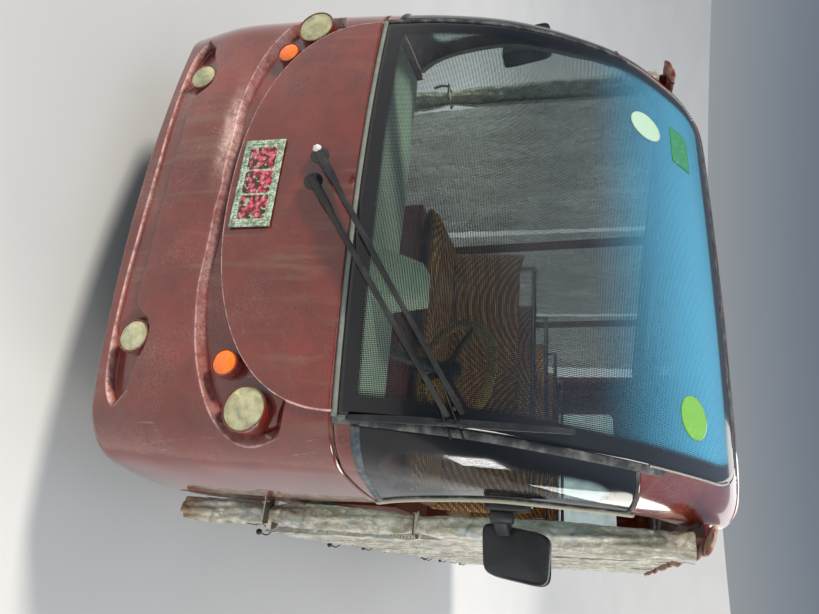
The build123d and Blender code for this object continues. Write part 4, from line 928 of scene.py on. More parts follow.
def on_skin(x, z, lift=0.0):
    """Points on the body's skin at places seen from the front, moved out along its normal by lift."""
    x, z = np.broadcast_arrays(np.asarray(x, float), np.asarray(z, float))
    a, step = np.sign(x) * across(np.abs(x), z), 1e-4
    point = hull(a, z)
    along_a, along_z = hull(a + step, z) - hull(a - step, z), hull(a, z + step) - hull(a, z - step)
    out = np.cross(along_a, along_z)
    return point + out / np.linalg.norm(out, axis=-1, keepdims=True) * np.asarray(lift)[..., None]


def smooth_path(points, count=40):
    """Points on a smooth curve through a few control points."""
    points = np.asarray(points, float)
    run = np.r_[0, np.cumsum(np.linalg.norm(np.diff(points, axis=0), axis=1))]
    where = np.linspace(0, run[-1], count)
    return np.stack([through(run, points[:, k], where) for k in range(points.shape[1])], -1)


class Lamp:
    """Place, lens radius and lens front of one pair of lamps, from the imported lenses."""

    def __init__(self, node, radius, depth):
        low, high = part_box(node)
        self.x, self.z = high.x - radius, (low.z + high.z) / 2
        self.front, self.radius, self.depth = low.y, radius, depth


@finish("lamp_lens")
def lens_glass(n, red, green, blue, clear):
    """Aged moulded lens: tinted see-through body with faint blisters, a soft haze and a Fresnel gloss."""
    normal = n.bump(n.noise(40.0, detail=3.0), .005, .9)
    see = n.see_through(lin(red, green, blue))
    haze = n.band(n.noise(38.0, detail=4.0), .3, .7, 1 - clear, 1 - clear * .6)
    body = n.surface(Base_Color=lin(red, green, blue), Roughness=.25, Subsurface_Weight=.3,
                     Subsurface_Radius=(.01, .01, .006), Subsurface_Scale=.3, Normal=normal)
    mixed = n.blend(haze, see, body)
    gloss = n.surface(Base_Color=(1, 1, 1, 1), Metallic=1.0, Roughness=.06, Normal=normal)
    share = n.plus(n.gloss_share(1.49, normal), .06 if clear > .1 else 0.0, clamp=True)
    return n.blend(share, mixed, gloss)


@finish("reflector_metal")
def reflector(n):
    """Vacuum metal that has gone cream with age."""
    tone = n.mix(n.patches(45.0, .35, .7, detail=4.0), lin(240, 236, 202), lin(176, 168, 124))
    return n.surface(Base_Color=tone, Metallic=.7, Roughness=.2)


class BUS_OT_lamps(bpy.types.Operator):
    """Round lamps: tubular bezel, reflector bowl, bulb and domed lens"""
    bl_idname = "bus.lamps"
    bl_label = "Front lamps"

    def execute(self, context):
        settings = context.scene.bus_lamps
        tubes, bowls = [], []
        kinds = (("headlamp", Lamp("headlamp_lenses", .056, .075), (226, 222, 172), settings.lens_clear),
                 ("turn_lamp", Lamp("turn_lamp_lenses", .033, .060), (255, 118, 0), .02),
                 ("fog_lamp", Lamp("fog_lamp_lenses", .042, .050), (226, 224, 178), settings.lens_clear))
        for name, lamp, colour, clear in kinds:
            for sign, side in SIDES:
                centre = (sign * lamp.x, lamp.front, lamp.z)
                tubes.append(self.tube(lamp, centre))
                bowls += self.bowl(lamp, centre)
                lens = joined(f"{name}_lens_{side}", [self.lens(lamp, centre)], lens_glass(*colour, clear),
                              slot="lamp_amber" if name == "turn_lamp" else "lamp_clear")
                if sign > 0:
                    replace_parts(lens, f"{name}_lenses")
        housing = joined("lamp_tubes", tubes, maroon_paint(), slot="body_paint")
        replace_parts(housing, "lamp_housings")
        joined("lamp_reflectors", bowls, reflector(), slot="steel")
        return {"FINISHED"}

    def tube(self, lamp, centre):
        """Tube with a rolled lip: the lip is a half circle between the outer and the inner wall."""
        wall, turn = .0035, np.linspace(0, math.pi, 9)
        outer, inner = lamp.radius + wall, lamp.radius
        lip = np.stack([.002 * np.sin(turn) - .004, (outer + inner + (outer - inner) * np.cos(turn)) / 2], -1)
        profile = np.r_[[(-lamp.depth, outer - .002), (-lamp.depth * .5, outer)], lip,
                        [(-.012, inner), (-lamp.depth, inner - .001), (-lamp.depth, outer - .002)]]
        return turned(profile, centre, (0, -1, 0), count=72)

    def bowl(self, lamp, centre):
        """Paraboloid bowl, depth growing with the square of the radius, and the bulb's cap in it."""
        r = np.linspace(TIP, lamp.radius - .0005, 14)
        depth = lamp.depth * .62
        dish = np.stack([-.012 - depth * (1 - (r / lamp.radius) ** 2), r], -1)
        cap = np.linspace(0, math.pi / 2, 7)
        bulb = np.stack([-.030 - .010 + .014 * np.cos(cap), np.maximum(.009 * np.sin(cap), TIP)], -1)
        stem = np.r_[bulb, [(-depth, .009)]]
        return [turned(dish[::-1], centre, (0, -1, 0), count=48), turned(stem, centre, (0, -1, 0), count=20)]

    def lens(self, lamp, centre):
        """Spherical cap; its edge turns back into the tube."""
        r = np.linspace(TIP, 1, 18)
        dome = np.stack([.0075 * (1 - r ** 2) - .004, r * (lamp.radius - .0008)], -1)
        profile = np.r_[[(-.0085, lamp.radius - .002)], dome[::-1]]
        return turned(profile, centre, (0, -1, 0), count=64)


@finish("plate_enamel")
def plate_enamel(n, panel=0):
    """Enamel: pale green with grime for the border, blotched red and pink for the three panels."""
    blotch = n.patches(70.0, .40, .58, detail=3.0)
    veins = n.patches(150.0, .47, .60, detail=5.0, rough=.7)
    if panel:
        tone = n.mix(blotch, lin(120, 14, 24), lin(206, 82, 108))
        tone = n.mix(n.patches(52.0, .50, .56, detail=4.0), tone, lin(52, 40, 26))
        tone = n.mix(n.patches(88.0, .60, .64, detail=2.0), tone, lin(158, 168, 136))
    else:
        tone = n.mix(blotch, lin(132, 150, 128), lin(186, 206, 180))
        tone = n.mix(n.times(veins, .6), tone, lin(70, 64, 48))
    return n.surface(Base_Color=tone, Roughness=.35, Coat_Weight=.3, Normal=n.bump(veins, .0008, .5))


class BUS_OT_plate(bpy.types.Operator):
    """Blank decorative plate with a beaded border and three enamel panels"""
    bl_idname = "bus.plate"
    bl_label = "Nose plate"

    def execute(self, context):
        low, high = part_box("nose_plate")
        half, rise = (high.x - low.x) / 2, (high.z - low.z) / 2
        middle = np.array([0, 0, (low.z + high.z) / 2])
        top, foot = (on_skin(0, middle[2] + d, PANEL_RISE + .0045) for d in (rise, -rise))
        up = (top - foot) / np.linalg.norm(top - foot)
        out = np.cross((1, 0, 0), up)
        centre = (top + foot) / 2 + out * .001

        def place(u, v, w):
            """Point at u across, v up and w out of the plate."""
            u, v, w = np.broadcast_arrays(*(np.asarray(q, float) for q in (u, v, w)))
            return centre + u[..., None] * np.array((1.0, 0, 0)) + v[..., None] * up + w[..., None] * out

        v, u = grid_of(shares(41, -1), shares(91, -1))
        edge = np.minimum((1 - np.abs(u)) * half, (1 - np.abs(v)) * rise)
        rib = .0016 * bell(edge - .005, .0026) + .0012 * bell(edge - .0195, .0016)
        bars = .0014 * sum(bell(u * half - x, .0022) for x in (-.039, .039)) * (edge > .02)
        base = grid_piece("plate_base", place(u * half, v * rise, rib + bars), plate_enamel(), thickness=.003,
                          slot="plate_enamel", flip=True)
        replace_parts(base, "nose_plate")
        for index, x in enumerate((-.078, 0.0, .078)):
            v, u = grid_of(shares(15, -1), shares(17, -1))
            pillow = .0022 * (1 - u ** 4) * (1 - v ** 4)
            grid_piece(f"plate_panel_{index}", place(x + u * .0372, v * (rise - .0185), .0004 + pillow),
                       plate_enamel(1), thickness=.002, slot="plate_enamel", flip=True)
        ring = np.linspace(0, math.pi / 2, 4)
        bead = np.stack([.0030 * np.cos(ring), np.maximum(.0042 * np.sin(ring), TIP)], -1)[::-1]
        inward = .0122
        half, rise = half - inward, rise - inward
        spots = [(x, s * rise) for x in np.linspace(-half, half, 31) for s in (-1, 1)]
        spots += [(s * half, z) for z in np.linspace(-rise, rise, 13)[1:-1] for s in (-1, 1)]
        beads = [turned(bead, place(x, z, .0), out, count=10) for x, z in spots]
        joined("plate_beads", beads, plate_enamel(), slot="plate_enamel")
        return {"FINISHED"}


WIPER_PIVOTS = ((-.085, .812), (.0, .806))
WIPER_ENDS = ((.598, 1.218), (.606, 1.186))
WIPER_JOINT = (.617, 1.196)
BLADE_LINE = [(.604, 1.462), (.613, 1.319), (.617, 1.196), (.619, 1.08), (.621, .957)]

# Stepped spindle with a domed cap and a ring at its foot: along, radius
PIVOT = [(-.004, .0), (-.004, .026), (.002, .026), (.004, .022), (.006, .017), (.020, .0155), (.024, .013),
         (.0265, .008), (.0275, TIP)]


def on_stem(profile, x, z, lift, count):
    """Profile turned about the skin's normal at a place seen from the front, lift above the skin."""
    foot = on_skin(x, z, lift)
    return turned(profile, foot, on_skin(x, z, lift + .02) - foot, count=count)


class BUS_OT_wiper(bpy.types.Operator):
    """Twin-arm wiper: pivots, tapered arms, joining bracket and blade"""
    bl_idname = "bus.wiper"
    bl_label = "Wiper"

    def execute(self, context):
        black = moulded_black(26, 27, 30)
        arms, heads = [], []
        for pivot, end in zip(WIPER_PIVOTS, WIPER_ENDS):
            line = np.linspace(pivot, end, 64)
            t = shares(64)
            lift = PANEL_RISE + .016 + .010 * ramp(t, 0, .3) - .006 * ramp(t, .85, 1)
            path = on_skin(*line.T, lift)
            size = 1.95 - .70 * ramp(t, .10, .17) - .20 * ramp(t, .4, .7)
            arms.append(swept(path, rounded_bar(.0165, .012, .004), scale=size))
            heads.append(on_stem(PIVOT, *pivot, PANEL_RISE, 32))
        cap = [(0, TIP), (0, .0125), (.006, .0125), (.0095, .0095), (.011, TIP)]
        cap = on_stem(cap, *WIPER_PIVOTS[0], PANEL_RISE + .026, 6)
        joined("wiper_cap", [cap], seal_rubber(214, 212, 204), slot="black_plastic")
        arm = joined("wiper_arms", arms, black, slot="black_plastic")
        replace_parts(arm, "wiper")
        joined("wiper_pivots", heads, moulded_black(40, 40, 42), slot="black_plastic")
        self.blade(black)
        return {"FINISHED"}

    def blade(self, black):
        """Spine over the rubber, with claws, and the bracket that joins it to both arms."""
        line = smooth_path(BLADE_LINE, 60)
        bow = np.sin(np.linspace(0, math.pi, 60))
        lip = [(-.001, -.0062), (.001, -.0062), (.0045, .004), (-.0045, .004)]
        rubber = swept(on_skin(*line.T, .0068), lip)
        spine = swept(on_skin(*line.T, .0165 + .004 * bow), rounded_bar(.019, .008, .003),
                      scale=.6 + .4 * bow ** .4)
        parts = [rubber, spine]
        for share in (.03, .2, .36, .64, .8, .97):
            i = int(share * 59)
            parts.append(on_stem([(0, TIP), (0, .0065), (.009, .006), (.011, TIP)], *line[i], .009, 10))
        x, z = WIPER_JOINT
        for dz in (-.014, .014):
            path = on_skin([x - .075, x + .030], [z + dz * .8 - .03, z + dz + .012], .026)
            parts.append(swept(path, rounded_bar(.013, .005, .002)))
        across_bar = on_skin([x + .004, x + .004], [z - .032, z + .034], .028)
        parts.append(swept(across_bar, rounded_bar(.014, .007, .003)))
        screw = [(0, TIP), (0, .0058), (.008, .0054), (.0095, TIP)]
        for dx, dz in ((.004, .018), (.004, -.018), (-.03, .004)):
            parts.append(on_stem(screw, x + dx, z + dz, .026, 12))
        joined("wiper_blade", parts, black, slot="black_plastic")


@finish("sticker_film")
def sticker(n, red, green, blue):
    """Plain coloured film with worn patches."""
    worn = n.patches(90.0, .55, .75, 0.0, .6, detail=5.0, rough=.7)
    return n.surface(Base_Color=n.mix(worn, lin(red, green, blue), lin(205, 210, 200)), Roughness=.35,
                     Coat_Weight=.5, Normal=n.bump(worn, .0004, .4))


class BUS_OT_stickers(bpy.types.Operator):
    """Bare stickers on the windscreen"""
    bl_idname = "bus.stickers"
    bl_label = "Stickers"

    def execute(self, context):
        for name, centre, half, power, colour in (
            ("sticker_oval", (.496, 1.770), (.059, .040), 2, (112, 172, 52)),
            ("sticker_block", (-.402, 1.797), (.074, .032), 14, (38, 128, 76)),
            ("sticker_round", (-.396, 1.687), (.050, .048), 2, (176, 204, 176)),
        ):
            r, angle = grid_of(np.linspace(.001, 1, 12), round_angles(64))
            u, v = superellipse(angle, power)
            grid = on_skin(centre[0] + half[0] * r * u, centre[1] + half[1] * r * v * .93, .0012)
            grid_piece(name, grid, sticker(*colour), thickness=.0008, closed_columns=True, flip=False,
                       slot="body_paint")
        return {"FINISHED"}


# Door mirrors

@finish("moulded_black")
def moulded_black(n, red=30, green=31, blue=34):
    """Grained black plastic, greyer where the sun and dust have been."""
    height = n.group(grain_group(), Scale=650.0)["Height"]
    grey = n.patches(9.0, .4, .75, 0.0, .45, detail=5.0, rough=.65)
    base = n.mix(grey, lin(red, green, blue), lin(78, 77, 75))
    return n.dusted(dict(Color=base, Amount=.16, Roughness=.42), Normal=n.bump(height, .0006, .55))


@finish("mirror_silver")
def mirror_silver(n):
    """Silvered glass with faint dust."""
    dust = n.patches(40.0, .5, .8, 0.0, .35, detail=5.0)
    return n.surface(Base_Color=n.mix(dust, (.86, .88, .9, 1), lin(150, 148, 140)), Metallic=1.0,
                     Roughness=n.plus(n.times(dust, .4), .02))


MIRROR_X, MIRROR_BACK, MIRROR_Z = .8795, -1.8915, 1.305
MIRROR_HALF, MIRROR_TALL = .0765, .087
MIRROR_EDGE, MIRROR_PANE = .10, .90
MIRROR_POWER = 6


class BUS_OT_mirrors(bpy.types.Operator):
    """Door mirrors: crowned shells, arms and foot blocks"""
    bl_idname = "bus.mirrors"
    bl_label = "Door mirrors"

    def execute(self, context):
        black = moulded_black(30, 31, 34)
        parts = []
        for sign in (1, -1):
            parts += [self.shell(sign), self.facet_ribs(sign)] + self.arm(sign)
        piece = joined("mirror_housings", parts, black, slot="black_plastic")
        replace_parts(piece, "door_mirrors")
        glasses = [self.mirror(sign) for sign in (1, -1)]
        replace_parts(joined("mirror_panes", glasses, mirror_silver(), slot="mirror"), "mirror_glass")
        return {"FINISHED"}

    def place(self, sign, u, v, y, tall=MIRROR_TALL):
        """Point at share u across and v up of a mirror, whose sides lean out towards its top."""
        return np.stack([sign * (MIRROR_X + MIRROR_HALF * (.85 * u + .15 * v)), y, MIRROR_Z + tall * v], -1)

    def shell(self, sign):
        """Shell of superellipse sections: straight walls, an edge rounded by a quarter circle, then a
        low crown that a diagonal fold parts into two facets."""
        size = np.r_[np.full(6, 1.0), 1 - MIRROR_EDGE * (1 - np.cos(np.linspace(0, math.pi / 2, 9)[1:])),
                     np.linspace(1 - MIRROR_EDGE, .002, 22)[1:]]
        wall = np.r_[np.linspace(0, .8, 6), .8 + .2 * np.sin(np.linspace(0, math.pi / 2, 9)[1:]), np.ones(21)]
        size, angle = grid_of(size, round_angles(96))
        u, v = superellipse(angle, MIRROR_POWER) * size
        v = v * (1 - .05 * u)
        depth = .055 * wall[:, None] + .009 * (1 - size ** 2)
        depth = depth - .009 * np.clip((u + .75 * v) - .15, 0, 1.2) * ramp(1 - size, .0, MIRROR_EDGE)
        grid = self.place(sign, u, v, MIRROR_BACK - depth)
        return grid.reshape(-1, 3), grid_faces(*size.shape, closed_columns=True, flip=sign > 0) + \
            [(np.arange(96) + 96 * (len(size) - 1)).tolist()[::1 if sign > 0 else -1]]

    def mirror(self, sign):
        """Mirror pane of the shell's own outline, a little smaller, with a low bulge to the rear."""
        size, angle = grid_of(np.r_[MIRROR_PANE, np.linspace(MIRROR_PANE, .002, 10)], round_angles(96))
        back = MIRROR_BACK + .002 + .0012 * (1 - (size / MIRROR_PANE) ** 2)
        back[0] = MIRROR_BACK - .001
        grid = self.place(sign, *(superellipse(angle, MIRROR_POWER) * size), back)
        return grid.reshape(-1, 3), grid_faces(*size.shape, closed_columns=True, flip=sign < 0)

    def facet_ribs(self, sign):
        """Thin moulded rib round the shell's rim."""
        u, v = superellipse(np.linspace(0, TURN, 80), 5.5)
        path = self.place(sign, u, v, np.full_like(u, MIRROR_BACK - .004), tall=.0862)
        return swept(path, circle(.0022, 8), capped=False)

    def arm(self, sign):
        """Foot block on the post, a round joint and the arm into the shell."""
        foot = smooth_path([(sign * .768, -1.985, 1.232), (sign * .768, -1.985, 1.348)], 8)
        block = swept(foot, rounded_bar(.058, .024, .008), scale=[.7, .95, 1, 1, 1, 1, .95, .7])
        joint = turned([(-.03, TIP), (-.03, .018), (-.026, .021), (.026, .021), (.03, .018), (.03, TIP)],
                       (sign * .790, -1.985, 1.275), (0, 0, 1), count=24)
        path = smooth_path([(sign * .775, -1.985, 1.275), (sign * .800, -1.975, 1.272),
                            (sign * .826, -1.945, 1.275)], 14)
        return [block, joint, swept(path, rounded_bar(.034, .044, .012))]


# Wheels

# Half section of the tyre, from the bead to the middle of the tread, in mm: radius, half width
TYRE_HALF = np.array([(154, 51), (160, 52), (166, 56), (182, 66), (216, 75), (240, 72.5), (252, 68),
                      (260, 62), (266.5, 54), (269, 40), (270, 20), (270, 0)]) / 1000
WHEEL_RADIUS = .270
WHEEL_PLACES = {"front": -1.550, "rear": 1.150}
WHEEL_X = .655


@finish("tyre_rubber")
def tyre_rubber(n):
    """Worn rubber: grey-brown dust in patches, thicker towards the ground."""
    grime = n.patches(14.0, .35, .7, .15, .75, detail=6.0, rough=.7)
    grime = n.times(grime, n.band(n.axis("Z"), .50, .05, .75, 1.0))
    fine = n.bump(n.noise(500.0, detail=2.0), .0006, .4)
    return n.surface(Base_Color=n.mix(grime, lin(30, 30, 31), lin(116, 104, 88)), Roughness=.86, Normal=fine)


@finish("rim_silver")
def rim_silver(n):
    """Silver wheel paint with brown brake dust in patches."""
    dust = dict(Color=lin(168, 168, 170), Dust_Color=lin(84, 66, 50), Amount=.85, Scale=11.0, Roughness=.38)
    return n.dusted(dust, Metallic=.55, Normal=n.bump(n.noise(240.0), .0004, .3))


class BUS_OT_wheels(bpy.types.Operator):
    """Treaded tyres and wheel nuts"""
    bl_idname = "bus.wheels"
    bl_label = "Wheels"

    def execute(self, context):
        for axle, y in WHEEL_PLACES.items():
            for sign, side in SIDES:
                body = f"wheel_{axle}_{side}"
                tyre = mesh_piece(f"tyre_tread_{axle}_{side}", *self.tyre(sign, y), tyre_rubber(), body=body,
                                  slot="tyre")
                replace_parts(tyre, f"tyre_{axle}_{side}")
                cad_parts[f"rim_{axle}_{side}"].material_slots[0].material = rim_silver()
                nuts = [self.nut(sign, y, turn) for turn in round_angles(5)]
                cap = [(0, .034), (.010, .033), (.018, .026), (.021, TIP)]
                centre = (sign * (WHEEL_X + .046), y, WHEEL_RADIUS)
                nuts.append(turned(cap, centre, (sign, 0, 0), count=32))
                joined(f"wheel_nuts_{axle}_{side}", nuts, rim_silver(), body=body, slot="rim_paint")
        return {"FINISHED"}

    def tyre(self, sign, y):
        """Profile turned about the axle. On the tread the radius drops in four grooves and in slanted
        slots between blocks, with the slots' phase set by the place across the tread."""
        blocks = 60
        radius, half = TYRE_HALF[:, 0], TYRE_HALF[:, 1]
        run = np.r_[0, np.cumsum(np.hypot(np.diff(radius), np.diff(half)))]
        share = np.unique(np.r_[np.linspace(0, run[-4], 15), np.linspace(run[-4], run[-1], 13)])
        r, h = through(run, radius, share), through(run, half, share)
        r, h = np.r_[r, r[-2::-1]], np.r_[h, -h[-2::-1]]
        count = blocks * 5
        angle = round_angles(count)
        angle, r = grid_of(angle, r)
        h = np.broadcast_to(h, r.shape)
        groove = sum(bell(np.abs(h) - place, .0032) for place in (.010, .033))
        phase = np.mod(angle * blocks / (TURN) + np.abs(h) * 22, 1)
        slot = np.where(phase < .24, 1.0, 0.0) * ramp(np.abs(h), .012, .020)
        drop = np.clip(groove + slot, 0, 1) * ramp(r, .2625, .2665) * bpy.context.scene.bus_wheels.tread_depth
        r = r - drop
        grid = np.stack([sign * WHEEL_X + h, y + r * np.cos(angle), WHEEL_RADIUS + r * np.sin(angle)], -1)
        grid[..., 2] = np.maximum(grid[..., 2], .0004)
        return grid, grid_faces(count, r.shape[1], closed_rows=True, closed_columns=True, flip=True)

    def nut(self, sign, y, turn):
        """Six-sided nut with a chamfer."""
        centre = (sign * (WHEEL_X + .0205), y + .058 * math.cos(turn), WHEEL_RADIUS + .058 * math.sin(turn))
        nut = [(0, TIP), (0, .0115), (.011, .0115), (.0135, .0095), (.0135, TIP)]
        return turned(nut, centre, (sign, 0, 0), count=6)


# Steering wheel

STEER_CENTRE = np.array((.270, -1.550, 1.020))
STEER_LEAN = math.radians(35)
STEER_RING = .190


@finish("plush_cover")
def plush(n):
    """Golden plush: short pile with a soft sheen and tufts of different tone."""
    tufts = n.patches(95.0, .35, .68, detail=5.0, rough=.75)
    tone = n.mix(tufts, lin(128, 84, 34), lin(226, 178, 98))
    height = n.plus(n.noise(260.0, detail=3.0), n.noise(90.0, detail=3.0))
    return n.surface(Base_Color=tone, Roughness=.95, Sheen_Weight=.8, Sheen_Roughness=.4,
                     Sheen_Tint=(1.0, .86, .6, 1), Normal=n.bump(height, .006, .9))


class BUS_OT_steering(bpy.types.Operator):
    """Steering wheel with a plush cover, spokes and boss"""
    bl_idname = "bus.steering"
    bl_label = "Steering wheel"

    def execute(self, context):
        axis = np.array((0, math.cos(STEER_LEAN), math.sin(STEER_LEAN)))
        side, up = np.array((1.0, 0, 0)), np.cross((1.0, 0, 0), axis) * -1
        turn, round_ = grid_of(round_angles(180),
                                   round_angles(28))
        pile = .0175 + .0012 * np.sin(31 * turn + 3 * np.sin(2 * round_))
        pile = pile + .001 * np.sin(53 * turn + 5 * round_)
        ring = np.cos(turn)[..., None] * side + np.sin(turn)[..., None] * up
        grid = STEER_CENTRE + ring * (STEER_RING - .001 + pile * np.cos(round_))[..., None] \
            + axis * (pile * np.sin(round_))[..., None]
        cover = mesh_piece("wheel_cover", grid, grid_faces(180, 28, True, True, flip=True), plush(),
                           body="steering_wheel", slot="seat_cover")
        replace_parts(cover, "steering_wheel")
        parts = []
        for angle in np.radians((90, 210, 330)):
            out = math.cos(angle) * side + math.sin(angle) * up
            path = smooth_path([STEER_CENTRE - axis * low + out * far
                                for low, far in ((.040, .02), (.030, .09), (.004, .178))], 20)
            parts.append(swept(path, rounded_bar(.034, .014, .006), scale=np.linspace(1.15, .8, 20)))
        boss = [(-.058, TIP), (-.058, .030), (-.045, .040), (-.020, .046), (-.010, .044), (-.003, .030),
                (0, TIP)]
        parts.append(turned(boss, STEER_CENTRE, axis, count=40))
        joined("wheel_spokes", parts, moulded_black(26, 26, 28), body="steering_wheel", slot="black_plastic")
        return {"FINISHED"}


# Benches

ROW_STATIONS = 1.250 + .720 * np.arange(5)
CUSHION_LOW, CUSHION_TOP = .7125, .822
BACK_FOOT = (.4403, .725)
BACK_LEAN = math.radians(8)


@finish("bench_mat")
def bench_mat(n):
    """Bench cover: where the mat attribute is 1, rows of bamboo tiles on cord, in curved bands of two
    tones; elsewhere brown sheeting with grain. The UV map is in metres."""
    mask = n.attribute("mat")
    uv = n.add("ShaderNodeUVMap", {})
    u = n.part(uv, "X")
    v = n.part(uv, "Y")
    row = n.times(v, 96.0)
    odd = n.times(n.math("MODULO", n.math("FLOOR", row), 2.0), .5)
    column = n.plus(n.times(u, 58.0), odd)
    edge_u = n.math("ABSOLUTE", n.math("SUBTRACT", n.math("FRACT", column), .5))
    edge_v = n.math("ABSOLUTE", n.math("SUBTRACT", n.math("FRACT", row), .5))
    tile = n.times(n.band(edge_u, .47, .40), n.band(edge_v, .46, .34))
    ids = n.add("ShaderNodeCombineXYZ", {0: n.math("FLOOR", column), 1: n.math("FLOOR", row)})
    shade = n.add("ShaderNodeTexWhiteNoise", {0: ids}, out="Value")
    seat = n.math("SUBTRACT", n.math("FRACT", n.times(u, 1.43)), .5)
    bow = n.plus(v, n.times(n.times(seat, seat), -.85))
    bands = n.math("SINE", n.times(bow, 190.0))
    bands = n.band(bands, -.6, .7)
    bamboo = n.mix(shade, lin(176, 124, 66), lin(220, 172, 104))
    dark = n.mix(shade, lin(116, 72, 38), lin(148, 98, 54))
    colour = n.mix(tile, lin(46, 30, 18), n.mix(bands, dark, bamboo))
    vinyl = n.mix(n.patches(8.0, .35, .7, detail=5.0), lin(92, 58, 38), lin(122, 82, 56))
    grain = n.group(grain_group(), Scale=420.0)["Height"]
    height = n.plus(n.times(tile, mask), n.times(grain, .25))
    rough = n.plus(.55, n.times(mask, -.17))
    return n.surface(Base_Color=n.mix(mask, vinyl, colour), Roughness=rough, Normal=n.bump(height, .0016, .8))


def pad_grid(width, depth, height, columns=92, rows=30):
    """Closed pad: a superellipsoid-like form whose top and bottom grids share their edge. u and v run
    across and along, w = +-height / 2 times a fall-off near the edges."""
    u, v = grid_of(shares(columns, -1), shares(rows, -1))
    u, v = u + .10 * np.sin(math.pi * u) / math.pi, v + .16 * np.sin(math.pi * v) / math.pi
    edge_u, edge_v = (1 - np.abs(u)) * width / 2, (1 - np.abs(v)) * depth / 2
    soft = .045
    fall = np.sqrt(np.clip(1 - (1 - np.clip(edge_u / soft, 0, 1)) ** 2, 0, 1)
                   * np.clip(1 - (1 - np.clip(edge_v / soft, 0, 1)) ** 2, 0, 1))
    round_corner = 1 - .012 * (np.abs(u) ** 9 * np.abs(v) ** 9)
    x, y = u * width / 2 * round_corner, v * depth / 2 * round_corner
    return np.stack([x, y, fall * height / 2], -1), np.stack([x, y, -fall * height / 2], -1)


def pad_mesh(name, width, depth, height):
    """Closed pad mesh whose top and bottom grids share the points of their edge."""
    top, low = pad_grid(width, depth, height)
    columns, rows = top.shape[:2]
    number = np.arange(columns * rows).reshape(columns, rows)
    lower = number + columns * rows
    lower[0], lower[-1], lower[:, 0], lower[:, -1] = number[0], number[-1], number[:, 0], number[:, -1]

    def quads(ids, flip):
        faces = np.stack([ids[:-1, :-1], ids[1:, :-1], ids[1:, 1:], ids[:-1, 1:]], -1).reshape(-1, 4)
        return faces[:, ::-1] if flip else faces

    faces = np.concatenate([quads(number, False), quads(lower, True)])
    points = np.concatenate([top.reshape(-1, 3), low.reshape(-1, 3)])
    used, index = np.unique(faces, return_inverse=True)
    mesh = bpy.data.meshes.new(name)
    mesh.from_pydata(points[used].tolist(), [], index.reshape(faces.shape).tolist())
    return mesh


def inflated(mesh, pressure, cap):
    """Points of a pad after a cloth simulation with inner pressure and no gravity, with each
    point's move held to a cap."""
    points = np.empty(len(mesh.vertices) * 3)
    mesh.vertices.foreach_get("co", points)
    start = points.reshape(-1, 3).copy()
    scene = bpy.context.scene
    piece = bpy.data.objects.new("pad_in_cloth", mesh)
    scene.collection.objects.link(piece)
    cloth = piece.modifiers.new("cloth", "CLOTH")
    cloth.settings.use_pressure = True
    cloth.settings.uniform_pressure_force = pressure
    cloth.settings.effector_weights.gravity = 0
    cloth.settings.quality = 5
    cloth.settings.tension_stiffness = cloth.settings.compression_stiffness = 12
    cloth.settings.bending_stiffness = .6
    for frame_number in range(1, 21):
        scene.frame_set(frame_number)
    after = piece.evaluated_get(bpy.context.evaluated_depsgraph_get()).data
    after.vertices.foreach_get("co", points)
    move = points.reshape(-1, 3) - start
    scene.frame_set(1)
    bpy.data.objects.remove(piece)
    length = np.linalg.norm(move, axis=1, keepdims=True)
    return start + move * np.minimum(1, cap / np.maximum(length, 1e-9))


